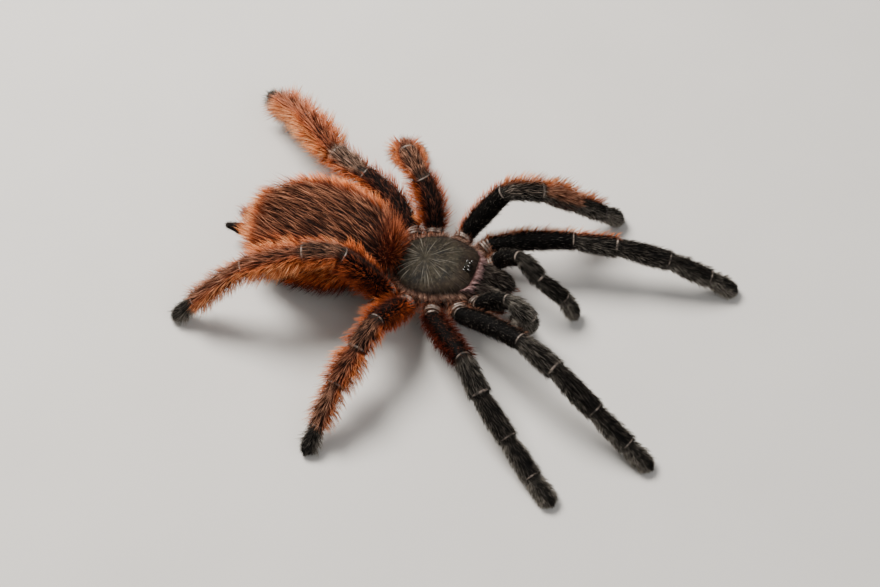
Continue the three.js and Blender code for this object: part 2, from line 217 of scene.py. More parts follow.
# Hair and skin take their colour from a scale of warmth, then a share of pale grey, which is
# cool on black hair and warm on orange.
WARMTH = [
    (0.0, rgb(0.0030, 0.0026, 0.0024)),
    (0.22, rgb(0.022, 0.009, 0.006)),
    (0.45, rgb(0.15, 0.022, 0.009)),
    (0.72, rgb(0.62, 0.105, 0.017)),
    (0.87, rgb(0.76, 0.22, 0.06)),
    (1.0, rgb(0.96, 0.46, 0.21)),
]
PALE_COOL, PALE_WARM = rgb(0.29, 0.26, 0.22), rgb(0.62, 0.31, 0.19)
GREY_WARMS = (0.04, 0.3)

# A hair grows warmer and paler from its root, and brighter as painted shade at the root fades:
# the share at the root, what the tip adds, and how far the hair's own tone moves it.
HAIR = {"warmth": (0.8, 0.35, 0.1), "pale": (0.2, 0.8, 0.9), "depth": (0.12, 1.0, 0.55)}
ROOT_SHADE_FADES, HAIR_BRIGHTEST = 0.7, 1.2

# The shell of the shield: its mottled ground, and what lies over it. The groove colour is painted
# shade in the furrows and the pit, and the eye mound's own black.
SHELL = {"ground": [(0.34, rgb(0.0034, 0.0024, 0.0010)), (0.66, rgb(0.021, 0.0165, 0.0088))],
         "speckle": rgb(0.052, 0.043, 0.026), "edge": rgb(0.04, 0.022, 0.016),
         "groove": rgb(0.003, 0.003, 0.002)}

# Rays on the shell: how many run round the pit and how they wander, how much of the noise
# shows, and how far from the pit, in millimetres, they start and end.
RAYS = {"crowding": 13.0, "wander": 0.1, "from": 0.58, "to": 0.66,
        "starts": (0.2, 1.2), "ends": (4.5, 8.5), "colour": rgb(0.12, 0.108, 0.086)}
RIM_TONES = [(0.4, rgb(0.04, 0.03, 0.024)), (0.68, rgb(0.36, 0.28, 0.23))]
EYE_TONES = [(0.3, rgb(0.004, 0.003, 0.003)), (0.8, rgb(0.03, 0.02, 0.014))]
GROUND_TONES = [(0.2, rgb(0.60, 0.58, 0.55)), (0.8, rgb(0.64, 0.62, 0.59))]


class Finish(Bench):
    """A material with its Principled shader and an output."""

    def __init__(self, name, **fixed):
        self.material = bpy.data.materials.new(name)
        self.material.use_nodes = True
        super().__init__(self.material.node_tree)
        self.shader = self.tree.nodes["Principled BSDF"]
        for socket, value in fixed.items():
            self.shader.inputs[socket.replace("_", " ")].default_value = value

    def set(self, name, value):
        self.fill(self.shader.inputs[name], value)

    def mark(self, name):
        return self.level("ShaderNodeAttribute", {"attribute_name": name}, None, "Fac")

    def place(self):
        return self.add("ShaderNodeTexCoord").outputs["Object"]

    def noise(self, scale, detail=3.0, vector=None):
        inputs = {"Vector": vector or self.place(), "Scale": scale, "Detail": detail}
        return self.level("ShaderNodeTexNoise", None, inputs, "Fac")

    def ramp(self, level, stops):
        node = self.add("ShaderNodeValToRGB", None, {"Fac": level})
        scale = node.color_ramp.elements
        while len(scale) < len(stops):
            scale.new(0.5)
        for element, (position, colour) in zip(scale, stops):
            element.position, element.color = position, colour
        return node.outputs["Color"]

    def greyed(self, shade, warmth, pale, pale_warm=PALE_WARM):
        grey = self.mix(warmth.within(*GREY_WARMS), PALE_COOL, pale_warm)
        return self.mix(pale.most(0.0).least(1.0), shade, grey)

    def bump(self, height, strength, distance):
        inputs = {"Height": height, "Strength": strength, "Distance": distance * MM}
        self.set("Normal", self.add("ShaderNodeBump", None, inputs).outputs[0])


def coat_finish(name, roughness, gloss, pale_warm=PALE_WARM):
    """Hair: its colour from the marks it carries, with painted shade darkening the root."""
    finish = Finish(name, Roughness=roughness, Specular_IOR_Level=gloss)
    tone, tip, warmth, pale = (finish.mark(mark) for mark in ("tone", "tip", "warmth", "pale"))
    root, rise, own = HAIR["warmth"]
    shade = finish.ramp(warmth * (root + rise * tip) + tone * own * (0.4 + warmth), WARMTH)
    root, rise, own = HAIR["pale"]
    pale = pale * (1 + tone * own) * (root + rise * tip)
    shade = finish.greyed(shade, warmth, pale, pale_warm)
    # Depth is painted shade, darkest at the root, with the hair's own random tone on it.
    root, rise, own = HAIR["depth"]
    depth = ((root + rise * tip**ROOT_SHADE_FADES) * (1 + tone * own)).least(HAIR_BRIGHTEST)
    shade = finish.mix(1.0, shade, finish.joined(depth, depth, depth), "MULTIPLY")
    finish.set("Base Color", shade)
    return finish.material


def skin_finish():
    """Skin under the coat: matt, finely grained, with the coat's own markings."""
    finish = Finish("skin", Roughness=0.7, Specular_IOR_Level=0.12)
    grain = finish.noise(1400.0, 4.0)
    warmth, pale = finish.mark("down_warmth"), finish.mark("skin_pale")
    shade = finish.ramp(warmth * 0.75 + (grain - 0.5) * 0.1, WARMTH)
    finish.set("Base Color", finish.greyed(shade, warmth, pale * (0.7 + grain * 0.5)))
    finish.set("Roughness", 0.75 - pale * 0.35)
    finish.bump(grain, 0.5, 0.08)
    return finish.material


def rim_finish():
    """Bare rims where limb parts meet: pale and softly polished."""
    finish = Finish("joint_rim", Roughness=0.35)
    worn = finish.noise(1100.0, 4.0)
    finish.set("Base Color", finish.ramp(worn, RIM_TONES))
    finish.set("Roughness", 0.3 + worn * 0.25)
    finish.bump(worn, 0.3, 0.04)
    return finish.material


def shield_finish():
    """Shell of the head and chest: olive black, with fine pale rays that run out from the pit."""
    finish = Finish("shield", Roughness=0.7, Specular_IOR_Level=0.2)
    grain, patch = finish.noise(900.0, 5.0), finish.noise(420.0, 6.0)
    speckle = finish.noise(1700.0).within(0.5, 0.68)
    shade = finish.mix(speckle * 0.55, finish.ramp(patch, SHELL["ground"]), SHELL["speckle"])
    x, y, _ = finish.parts(finish.place())
    aside, ahead = x - PIT_SPOT[0] * MM, PIT_SPOT[1] * MM - y
    angle = aside.math("ARCTAN2", aside, ahead)
    out = (aside * aside + ahead * ahead) ** 0.5 / MM
    course = finish.joined(angle * RAYS["crowding"], out * RAYS["wander"])
    ray = finish.noise(1.0, 2.0, course).within(RAYS["from"], RAYS["to"])
    ray = ray * out.within(*RAYS["starts"]) * (1 - out.within(*RAYS["ends"])) * (0.5 + grain)
    shade = finish.mix(ray, shade, RAYS["colour"])
    shade = finish.mix(finish.mark("edge") * 0.3, shade, SHELL["edge"])
    # Painted shade darkens the furrows and the pit; on the eye mound the same mark is its own
    # black.
    shade = finish.mix(finish.mark("groove") * 0.6, shade, SHELL["groove"])
    finish.set("Base Color", shade)
    finish.set("Roughness", 0.6 + grain * 0.3)
    finish.bump(grain * 0.6 + patch, 0.5, 0.12)
    return finish.material


def horn_finish(name, colour, tip_colour, roughness):
    """Fangs and claws: glossy horn, redder where it thins."""
    finish = Finish(name, Roughness=roughness)
    streak = finish.noise(700.0)
    redder = (finish.mark("tip") * 0.8 + streak * 0.2).least(1.0)
    finish.set("Base Color", finish.mix(redder, colour, tip_colour))
    finish.set("Roughness", roughness + streak * 0.15)
    finish.bump(streak, 0.15, 0.03)
    return finish.material


def eye_finish():
    """Eyes: dark beads under a clear gloss."""
    finish = Finish("eye", Roughness=0.08, Coat_Weight=1.0, Coat_Roughness=0.03)
    finish.set("Base Color", finish.ramp(finish.noise(1500.0, 2.0), EYE_TONES))
    return finish.material


def ground_finish():
    finish = Finish("ground", Roughness=0.9)
    finish.set("Base Color", finish.ramp(finish.noise(30.0, 4.0), GROUND_TONES))
    return finish.material


# ---------------------------------------------------------------------- reading the frame


# Faces of two solids closer than this, in millimetres, lie against each other.
TOUCHING = 0.5


def corners(mesh):
    flat = np.empty(len(mesh.vertices) * 3, np.float32)
    mesh.vertices.foreach_get("co", flat)
    return flat.reshape(-1, 3)


class Solid:
    """One node of the frame as arrays of corners and faces, in millimetres."""

    def __init__(self, name):
        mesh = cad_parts[name].data
        self.points = corners(mesh).astype(float) / MM
        mesh.calc_loop_triangles()
        index = np.empty(len(mesh.loop_triangles) * 3, np.int32)
        mesh.loop_triangles.foreach_get("vertices", index)
        self.faces = index.reshape(-1, 3)
        a, b, c = (self.points[self.faces[:, k]] for k in range(3))
        self.centres = (a + b + c) / 3
        self.areas = np.linalg.norm(np.cross(b - a, c - a), axis=1) / 2
        volumes = np.einsum("ij,ij->i", a, np.cross(b, c)) / 6
        self.middle = ((a + b + c) / 4 * volumes[:, None]).sum(axis=0) / volumes.sum()
        self.tree = BVHTree.FromPolygons(self.points.tolist(), self.faces.tolist())

    def towards(self, other):
        """Middle of the faces that lie against another solid."""
        away = np.array([other.tree.find_nearest(c)[3] for c in self.centres.tolist()])
        weights = self.areas * (away < TOUCHING)
        return (self.centres * weights[:, None]).sum(axis=0) / weights.sum()


def joint_between(one, other):
    return (one.towards(other) + other.towards(one)) / 2


def unit(vectors):
    return vectors / np.maximum(np.linalg.norm(vectors, axis=-1, keepdims=True), 1e-9)


def smooth_step(x, low=0.0, high=1.0):
    t = np.clip((x - low) / (high - low), 0.0, 1.0)
    return t * t * (3 - 2 * t)


def hump(x, centre, width):
    return np.exp(-(((x - centre) / width) ** 2))


def soften(values, spread):
    """Runs a bell-shaped average of that spread, in samples, along the first axis."""
    reach = max(1, int(3 * spread))
    offsets = np.arange(-reach, reach + 1)
    weights = np.exp(-((offsets / spread) ** 2) / 2)
    weights /= weights.sum()
    ends = [(reach, reach)] + [(0, 0)] * (values.ndim - 1)
    padded = np.pad(values, ends, mode="edge")
    return sum(w * padded[k : k + len(values)] for k, w in enumerate(weights))


# --------------------------------------------------------------------------------- guides

# Every guide carries these marks at each point. Down is the short dense coat and guard the
# long hair over it: hairs per square millimetre, length, how steeply it stands, colours.
LAYERS = ("down", "guard")
LAYER_MARKS = ("density", "length", "lift", "warmth", "pale")


class Guide:
    """A closed tube or egg of points in rows, with the marks that skin and coat read.

    Lie is which way the hair lies at each point, by default along the rows, and place is
    where the point is on the map.
    """

    MAP = (0.02, 0.98)

    def __init__(self, points, marks, lie=None):
        self.points = points
        rows, columns = points.shape[:2]
        self.lie = unit(np.gradient(points, axis=0) if lie is None else lie)
        self.marks = {m: np.broadcast_to(value, (rows, columns)) for m, value in marks.items()}

    def mesh(self, name):
        rows, columns = self.points.shape[:2]
        mesh = bpy.data.meshes.new(name)
        ids = np.arange(rows * columns).reshape(rows, columns)
        quads = np.stack([ids[:-1, :-1], ids[:-1, 1:], ids[1:, 1:], ids[1:, :-1]], axis=-1)
        quads, flat = quads.reshape(-1, 4), self.points.reshape(-1, 3)
        if self.inside_out(flat, quads):
            quads = quads[:, ::-1]
        mesh.from_pydata((flat * MM).tolist(), [], quads.tolist())
        write_mark(mesh, "lie", self.lie, "FLOAT_VECTOR")
        u, v = np.meshgrid(np.linspace(*self.MAP, columns), np.linspace(*self.MAP, rows))
        write_mark(mesh, "place", np.stack([u, v, 0 * u], axis=-1), "FLOAT_VECTOR")
        for mark, values in self.marks.items():
            write_mark(mesh, mark, values, "FLOAT")
        mesh.update()
        return mesh

    @staticmethod
    def inside_out(points, quads):
        a, b, c, d = (points[quads[:, k]] for k in range(4))
        facing = np.cross(c - a, d - b)
        out = (a + b + c + d) / 4 - points.mean(axis=0)
        return np.einsum("ij,ij->i", out, facing).sum() < 0


def write_mark(mesh, name, values, kind):
    mark = mesh.attributes.new(name, kind, "POINT")
    field = "vector" if kind == "FLOAT_VECTOR" else "value"
    mark.data.foreach_set(field, np.ascontiguousarray(values, np.float32).reshape(-1))


def coat_marks(down, guard, skin_pale=0.0):
    """Marks of both layers from (density, length, lift, warmth, pale) each."""
    marks = {"skin_pale": skin_pale}
    for layer, values in zip(LAYERS, (down, guard)):
        for name, value in zip(LAYER_MARKS, values):
            marks[f"{layer}_{name}"] = np.asarray(value, float)
        marks[f"{layer}_density"] = marks[f"{layer}_density"] / MM**2
        marks[f"{layer}_length"] = marks[f"{layer}_length"] * MM
    return marks


# ---------------------------------------------------------------------------------- limbs

SIDES = ("left", "right")
BONES = {
    "leg": ("femur", "patella", "tibia", "metatarsus", "tarsus"),
    "palp": ("femur", "patella", "tibia", "tarsus"),
}
KINDS = ("leg_1", "leg_2", "leg_3", "leg_4", "palp")
LIMBS = {f"{kind}_{side}": kind for kind in KINDS for side in SIDES}

# Half width and half depth of the flesh under the coat, for every part of a limb.
FLESH = {
    "leg_1": {"coxa": (1.7, 1.8), "femur": (1.85, 2.0), "patella": (2.0, 1.85),
              "tibia": (1.95, 1.85), "metatarsus": (1.75, 1.65), "tarsus": (1.65, 1.35)},
    "leg_2": {"coxa": (1.7, 1.8), "femur": (1.9, 1.95), "patella": (2.0, 1.85),
              "tibia": (1.9, 1.85), "metatarsus": (1.7, 1.6), "tarsus": (1.65, 1.35)},
    "leg_3": {"coxa": (1.75, 1.8), "femur": (2.05, 2.15), "patella": (1.95, 1.85),
              "tibia": (1.8, 1.8), "metatarsus": (1.45, 1.5), "tarsus": (1.3, 1.15)},
    "leg_4": {"coxa": (1.75, 1.8), "femur": (2.1, 2.2), "patella": (2.0, 1.9),
              "tibia": (1.85, 1.85), "metatarsus": (1.5, 1.5), "tarsus": (1.35, 1.15)},
    "palp": {"coxa": (1.45, 1.6), "femur": (1.45, 1.75), "patella": (1.6, 1.6),
             "tibia": (1.55, 1.5), "tarsus": (1.45, 1.25)},
}

# How each part swells between its joints: near end, middle and far end as shares.
SWELL = {"coxa": (0.85, 0.95, 1.0), "femur": (0.86, 1.0, 0.9), "patella": (0.82, 0.95, 1.04),
         "tibia": (0.8, 1.0, 0.98), "metatarsus": (0.78, 1.0, 1.0), "tarsus": (0.78, 1.0, 0.92)}
SWELL_MIDDLE = 0.45

# A limb's tube: its steps and columns, how its root lies from the hip as shares and a height,
# and how the foot stands.
LIMB_STEP = 0.3
LIMB_COLUMNS = 25
ROOT_IN = (0.33, 0.54, -1.6)
GROUND_CLEARANCE = 0.25
FOOT_COAT = 0.75
FOOT_LIFT = 0.6

# How far a limb's bends, swellings, coats and course are rounded along it, in millimetres.
ROUNDING = {"line": 0.55, "section": 0.45, "coat": 0.2, "course": 0.36}
STRAIGHT_SAMPLES = 6.0

# A distance past anything on a limb, for the ends that have no joint.
FAR_OFF = 99.0


class LimbLine:
    """The middle line of one limb, sampled evenly, with the part that each sample is in.

    Share is how far a sample is along its part, near and far its distances from the part's
    two ends, and run its distance along the whole line.
    """

    def __init__(self, limb):
        self.limb = limb
        self.kind = LIMBS[limb]
        self.sign = 1.0 if limb.endswith("left") else -1.0
        names = BONES["palp" if self.kind == "palp" else "leg"]
        solids = [Solid(f"{limb}_{name}") for name in names]
        hip = solids[0].towards(BODY_SOLID)
        joints = [hip] + [joint_between(a, b) for a, b in zip(solids, solids[1:])]
        joints.append(self.foot_tip(solids[-1], joints[-1]))
        root = FRONT_MIDDLE + (hip - FRONT_MIDDLE) * np.array([ROOT_IN[0], ROOT_IN[1], 1.0])
        root[2] = hip[2] + ROOT_IN[2]
        self.parts = ("coxa",) + names
        self.sample([root] + joints, [None] + solids[:-1] + [None])

    @staticmethod
    def foot_tip(solid, joint):
        aim = unit(solid.middle - joint)
        reach = ((solid.points - joint) @ aim).max()
        tip = joint + aim * (reach - FOOT_COAT)
        tip[2] = max(tip[2], GROUND_CLEARANCE + FOOT_LIFT)
        return tip

    def sample(self, ends, bowed):
        """Fills the samples from joint to joint, bowed as far as the solid between them is."""
        rows = []
        for i, (a, b) in enumerate(zip(ends, ends[1:])):
            length = np.linalg.norm(b - a)
            count = max(3, int(round(length / LIMB_STEP)))
            t = np.arange(count) / count
            bow = np.zeros(3)
            if bowed[i] is not None:
                along = (b - a) / length
                off = bowed[i].middle - (a + b) / 2
                bow = (off - along * (off @ along)) * math.pi / 2
            points = a + t[:, None] * (b - a) + np.sin(np.pi * t)[:, None] * bow
            marks = [np.full(count, i), t, (1 - t) * length, t * length]
            rows.append(np.column_stack([points, *marks]))
        tip = [*ends[-1], len(self.parts) - 1, 1.0, 0.0, rows[-1][-1, 6] + LIMB_STEP]
        table = np.concatenate([*rows, [tip]])
        line = table[:, :3]
        self.part = table[:, 3].astype(int)
        self.share, self.far, self.near = (table[:, k].copy() for k in (4, 5, 6))
        from_end = np.minimum(np.arange(len(line)), np.arange(len(line))[::-1])
        fade = smooth_step(from_end / STRAIGHT_SAMPLES)[:, None]
        self.points = line * (1 - fade) + soften(line, ROUNDING["line"] / LIMB_STEP) * fade
        steps = np.linalg.norm(np.diff(self.points, axis=0), axis=1)
        self.run = np.concatenate([[0.0], np.cumsum(steps)])
        self.inner = self.part < len(self.parts) - 1

    def past_ring(self):
        """Samples between a ring and its joint, which carry the next part's coat."""
        return (self.far < CUFF["back"] - CUFF["edge"]) & self.inner

    def wears(self, name):
        return (self.part + self.past_ring() == self.parts.index(name)).astype(float)


def swelling(name, share):
    near, middle, far = SWELL[name]
    rise = near + (middle - near) * smooth_step(share / SWELL_MIDDLE)
    past = (share - SWELL_MIDDLE) / (1 - SWELL_MIDDLE)
    return np.where(share < SWELL_MIDDLE, rise, middle + (far - middle) * smooth_step(past))


# Rings where parts meet: a groove at the joint and a cuff just before it. The cuff is paler
# from part way up the flank, and its down shorter and thinner; its guard hair is thinner too.
CUFF = {"back": 0.42, "width": 0.24, "edge": 0.1, "raise": 0.06, "up_flank": (-0.6, 0.3),
        "paler": 0.5, "shorter": 0.4, "down_thinner": 0.25, "guard_thinner": 0.5}
GROOVE = {"width": 0.28, "depth": 0.24}
TIP_ROUND = 1.6
ROOT_SAMPLES = 4.0


def limb_sections(line):
    """Half width and half depth at each sample of a limb's middle line."""
    sizes = FLESH[line.kind]
    width, depth = np.zeros(len(line.part)), np.zeros(len(line.part))
    for i, name in enumerate(line.parts):
        here = line.part == i
        swell = swelling(name, line.share[here])
        width[here], depth[here] = sizes[name][0] * swell, sizes[name][1] * swell
    width, depth = (soften(size, ROUNDING["section"] / LIMB_STEP) for size in (width, depth))
    cuff = CUFF["raise"] * hump(line.far, CUFF["back"], CUFF["width"]) * line.inner
    to_near = np.where(line.part > 0, line.near, FAR_OFF)
    to_joint = np.minimum(line.far + FAR_OFF * ~line.inner, to_near)
    change = cuff - GROOVE["depth"] * hump(to_joint, 0.0, GROOVE["width"])
    tip = line.far + FAR_OFF * line.inner
    blunt = np.sqrt(np.clip(1 - (1 - np.clip(tip / TIP_ROUND, 0, 1)) ** 2, 0, 1))
    root = np.sqrt(np.clip(np.arange(len(width)) / ROOT_SAMPLES, 0, 1))
    return (width + change) * blunt * root, (depth + change) * blunt * root


def limb_axes(line):
    """Which way a limb runs at each sample, and what is across and on top of it."""
    along = unit(soften(unit(np.gradient(line.points, axis=0)), ROUNDING["course"] / LIMB_STEP))
    side = unit(np.cross(along, UP))
    return along, side, np.cross(side, along)


def limb_guide(line):
    width, depth = limb_sections(line)
    _, side, top = limb_axes(line)
    turn = np.linspace(0.0, 2 * math.pi, LIMB_COLUMNS)
    aside, above = np.cos(turn)[None, :, None], np.sin(turn)[None, :, None]
    spread = (aside * side[:, None, :] * width[:, None, None]
              + above * top[:, None, :] * depth[:, None, None])
    points = line.points[:, None, :] + spread
    points[..., 2] = np.maximum(points[..., 2], GROUND_CLEARANCE)
    upper = np.broadcast_to(np.sin(turn), points.shape[:2])
    rear = np.broadcast_to(-line.sign * np.cos(turn), points.shape[:2])
    return Guide(points, limb_marks(line, upper, rear))


# The coat of every limb part. Down is (density, length, lift); top and flank are its
# (warmth, pale), and stripe is how far up the flank the top begins. Ridge and fringe are the
# guard hair on the top and on the flank: (density, length, lift, warmth, pale).
FRONT_COATS = {
    "coxa": dict(down=(20, 1.0, 0.7), top=(0.26, 0.3), flank=(0.2, 0.1), stripe=0.2,
                 ridge=(5, 1.7, 0.8, 0.4, 0.5), fringe=(8, 2.0, 1.1, 0.4, 0.5)),
    "femur": dict(down=(28, 0.98, 0.6), top=(0.0, 0.0), flank=(0.02, 0.0), stripe=0.3,
                  ridge=(2.6, 1.1, 0.5, 0.03, 0.6), fringe=(4, 1.4, 0.8, 0.08, 0.3)),
    "patella": dict(down=(25, 0.95, 0.45), top=(0.0, 0.0), flank=(0.03, 0.08), stripe=0.4,
                    ridge=(8, 2.1, 0.28, 0.04, 0.5), fringe=(11, 1.6, 0.6, 0.03, 0.65)),
    "tibia": dict(down=(25, 0.98, 0.5), top=(0.0, 0.0), flank=(0.03, 0.1), stripe=0.5,
                  ridge=(6, 1.9, 0.28, 0.05, 0.32), fringe=(14, 1.3, 0.75, 0.03, 0.75)),
    "metatarsus": dict(down=(25, 0.98, 0.5), top=(0.0, 0.0), flank=(0.03, 0.2), stripe=0.65,
                       ridge=(6, 1.7, 0.35, 0.05, 0.3), fringe=(16, 1.6, 0.8, 0.04, 0.9)),
    "tarsus": dict(down=(29, 0.98, 0.6), top=(0.0, 0.06), flank=(0.04, 0.7), stripe=0.75,
                   ridge=(7, 1.2, 0.55, 0.03, 0.55), fringe=(22, 1.5, 1.0, 0.02, 1.3)),
}
HIND_COATS = {
    "coxa": dict(down=(18, 1.0, 0.6), top=(0.3, 0.3), flank=(0.4, 0.15), stripe=0.2,
                 ridge=(6, 1.9, 0.8, 0.45, 0.5), fringe=(9, 2.2, 1.0, 0.5, 0.4)),
    "femur": dict(down=(23, 1.15, 0.5), top=(0.02, 0.0), flank=(0.22, 0.0), stripe=0.66,
                  ridge=(6, 2.0, 0.4, 0.34, 0.15), fringe=(10, 3.4, 1.3, 0.76, 0.05)),
    "patella": dict(down=(23, 1.15, 0.45), top=(0.08, 0.05), flank=(0.22, 0.03), stripe=0.55,
                    ridge=(7, 2.8, 0.35, 0.3, 0.75), fringe=(9, 3.0, 1.1, 0.8, 0.15)),
    "tibia": dict(down=(22, 1.2, 0.5), top=(0.2, 0.05), flank=(0.3, 0.0), stripe=0.72,
                  ridge=(8, 3.2, 0.6, 0.56, 0.7), fringe=(12, 3.6, 1.6, 0.86, 0.12)),
    "metatarsus": dict(down=(22, 1.2, 0.5), top=(0.2, 0.12), flank=(0.3, 0.06), stripe=0.7,
                       ridge=(8, 3.0, 0.6, 0.55, 1.0), fringe=(11, 3.2, 1.4, 0.88, 0.4)),
    "tarsus": dict(down=(32, 1.2, 0.8), top=(0.0, 0.08), flank=(0.06, 0.45), stripe=0.45,
                   ridge=(8, 1.7, 0.7, 0.05, 0.55), fringe=(16, 2.1, 1.3, 0.05, 1.0)),
}
COATS_OF = {kind: HIND_COATS if kind in ("leg_3", "leg_4") else FRONT_COATS for kind in KINDS}

# Where one limb's part differs from the rest of its kind.
OWN_COATS = {
    ("patella", "leg_2_left"): dict(ridge=(9, 2.1, 0.28, 0.1, 0.85)),
    ("tibia", "leg_2_left"): dict(top=(0.3, 0.2), flank=(0.3, 0.15),
                                  ridge=(12, 2.8, 0.5, 0.5, 1.0)),
    ("tibia", "leg_4_left"): dict(ridge=(9, 3.6, 0.9, 0.6, 0.5), fringe=(12, 4.4, 1.7, 0.88, 0.1)),
    ("metatarsus", "leg_4_left"): dict(top=(0.24, 0.08), ridge=(9, 3.6, 1.0, 0.6, 0.6),
                                       fringe=(12, 4.4, 1.6, 0.88, 0.3)),
    ("tarsus", "leg_4_left"): dict(ridge=(8, 2.2, 0.9, 0.05, 0.9),
                                   fringe=(16, 2.8, 1.5, 0.06, 1.1)),
    ("patella", "leg_4_left"): dict(top=(0.06, 0.12), ridge=(9, 2.8, 0.35, 0.17, 1.1)),
    ("femur", "leg_3_right"): dict(ridge=(9, 2.2, 0.5, 0.45, 0.12)),
    ("metatarsus", "leg_3_right"): dict(ridge=(9, 3.0, 0.6, 0.4, 1.1)),
    ("femur", "leg_2_right"): dict(ridge=(6, 1.4, 0.5, 0.34, 0.15)),
    ("femur", "palp_right"): dict(ridge=(6, 1.3, 0.4, 0.05, 0.5)),
    ("femur", "palp_left"): dict(ridge=(6, 1.3, 0.4, 0.05, 0.5)),
    ("patella", "palp_right"): dict(ridge=(10, 2.2, 0.28, 0.04, 1.2)),
}

# Long hair that only some limbs have: (part, limb) gives the side of the limb it grows on,
# from -1 in front to 1 behind with 0 for both, and its (density, length, lift, warmth, pale).
FRINGES = {
    ("femur", "leg_1_left"): (1, (9, 2.2, 1.3, 0.93, 0.3)),
    ("patella", "leg_1_left"): (1, (5, 2.2, 0.9, 0.85, 0.3)),
    ("femur", "leg_2_left"): (1, (10, 2.4, 1.2, 0.7, 0.1)),
    ("patella", "leg_2_left"): (1, (10, 3.2, 1.3, 0.88, 0.3)),
    ("tibia", "leg_2_left"): (1, (12, 3.6, 1.3, 0.9, 0.3)),
    ("metatarsus", "leg_2_left"): (1, (11, 3.2, 1.1, 0.9, 0.35)),
    ("femur", "leg_2_right"): (0, (11, 2.3, 1.2, 0.34, 0.0)),
    ("femur", "leg_1_right"): (-1, (3, 1.6, 1.0, 0.25, 0.3)),
    ("coxa", "leg_2_right"): (0, (6, 2.2, 1.0, 0.42, 0.2)),
    # The right hind femur's front fringe is darker crimson, partly its own colour and partly
    # painted shade.
    ("femur", "leg_4_right"): (-1, (12, 3.2, 1.2, 0.55, 0.08)),
    ("femur", "leg_3_right"): (-1, (9, 2.8, 1.2, 0.58, 0.05)),
}

# How far round a limb the top's coat blends into the flank's, and where a fringe begins and
# is full, on one side or on both.
STRIPE_BLEND = 0.25
FRINGE_EDGE = {"one": (0.0, 0.5), "both": (0.3, 0.8)}

# Past a joint the next part's guard hair starts thick, and greys the down beneath it. It is
# short at the tip of the foot and stops before a ring, and the root inside the body is bare.
START = {"width": 1.2, "thicker": 1.2, "greys": 0.3}
FOOT_FADE = {"over": 2.2, "shortest": 0.45}
RING_ROOM = 0.4
BARE_ROOT = 0.35
SKIN_PALE = {"cuff": 0.2, "down": 0.12}


def limb_marks(line, upper, rear):
    down, guard = ({mark: np.zeros(upper.shape) for mark in LAYER_MARKS} for _ in LAYERS)
    for name in line.parts:
        share = soften(line.wears(name), ROUNDING["coat"] / LIMB_STEP)[:, None]
        coat = COATS_OF[line.kind][name] | OWN_COATS.get((name, line.limb), {})
        on_top = smooth_step(upper, coat["stripe"] - STRIPE_BLEND, coat["stripe"] + STRIPE_BLEND)
        colours = [a + (b - a) * on_top for a, b in zip(coat["flank"], coat["top"])]
        values = [a + (b - a) * on_top for a, b in zip(coat["fringe"], coat["ridge"])]
        if (name, line.limb) in FRINGES:
            facing, longer = FRINGES[name, line.limb]
            there = smooth_step(np.abs(rear), *FRINGE_EDGE["both"])
            if facing:
                there = smooth_step(rear * facing, *FRINGE_EDGE["one"])
            values = [a + (b - a) * there for a, b in zip(values, longer)]
        for layer, found in ((down, (*coat["down"], *colours)), (guard, values)):
            for mark, value in zip(LAYER_MARKS, found):
                layer[mark] += share * value
    ringed = line.inner & ~line.past_ring()
    cuff = (hump(line.far, CUFF["back"], CUFF["width"]) * ringed)[:, None]
    above = smooth_step(upper, *CUFF["up_flank"])
    down["pale"] = np.clip(down["pale"] + cuff * above * CUFF["paler"], 0, 1)
    down["length"] *= 1 - CUFF["shorter"] * cuff
    down["density"] *= 1 - CUFF["down_thinner"] * cuff * above
    guard["density"] *= 1 - CUFF["guard_thinner"] * cuff
    fade = smooth_step(line.far + FAR_OFF * line.inner, 0.0, FOOT_FADE["over"])[:, None]
    guard["length"] *= FOOT_FADE["shortest"] + (1 - FOOT_FADE["shortest"]) * fade
    room = np.where(ringed, line.far + RING_ROOM, FAR_OFF)[:, None]
    guard["length"] = np.minimum(guard["length"], room * np.sqrt(1 + guard["lift"] ** 2))
    start = hump(line.near, 0.0, START["width"]) * (line.part > 1)
    start = np.where(line.past_ring(), 1.0, start)[:, None]
    guard["density"] *= 1 + START["thicker"] * start
    down["pale"] = np.clip(down["pale"] + start * guard["pale"] * START["greys"], 0, 1)
    bare = ((line.part == 0) & (line.share < BARE_ROOT))[:, None]
    down["density"] *= ~bare
    guard["density"] *= ~bare
    skin_pale = np.clip(cuff * above * SKIN_PALE["cuff"] + down["pale"] * SKIN_PALE["down"], 0, 1)
    return coat_marks(down.values(), guard.values(), skin_pale)


# ----------------------------------------------------------------------------------- body

SHIELD = {"length": 19.2, "width": 15.8, "dome": 3.5, "rim": 1.3, "height": 8.2, "pitch": 7.0,
          "roundness": 0.8}
HEAD = {"rise": 1.25, "narrowing": 0.28, "drop": 1.2, "reach": 9.4, "corners": 6.0,
        "from": 0.1, "rises_over": 0.8, "drops_over": 0.9}
PIT = {"depth": 0.35, "behind": 0.22, "length": 0.05, "width": 0.13}
BREAST = {"width": 8.6, "length": 14.5, "depth": 5.2, "height": 5.4}
JAW = {"across": 2.55, "back": -8.4, "height": 7.3, "length": 8.5, "width": 2.5, "depth": 3.05,
       "droop": 16.0}
JAW_OUTLINE = ((0.0, -0.19), (0.6, -0.14), (0.86, 0.0), (1.0, 0.3), (0.96, 0.6), (0.78, 0.84),
               (0.42, 0.97), (0.0, 1.0))
ABDOMEN = {"length": 34.8, "width": 25.0, "depth": 20.0, "turn": 4.0, "pitch": -2.0,
           "fullness": 0.1, "taper": 0.06, "belly": 0.94}

# Radii of the egg that the abdomen's long hair is combed over.
ABDOMEN_CURVE = (11.0, 15.7, 8.8)
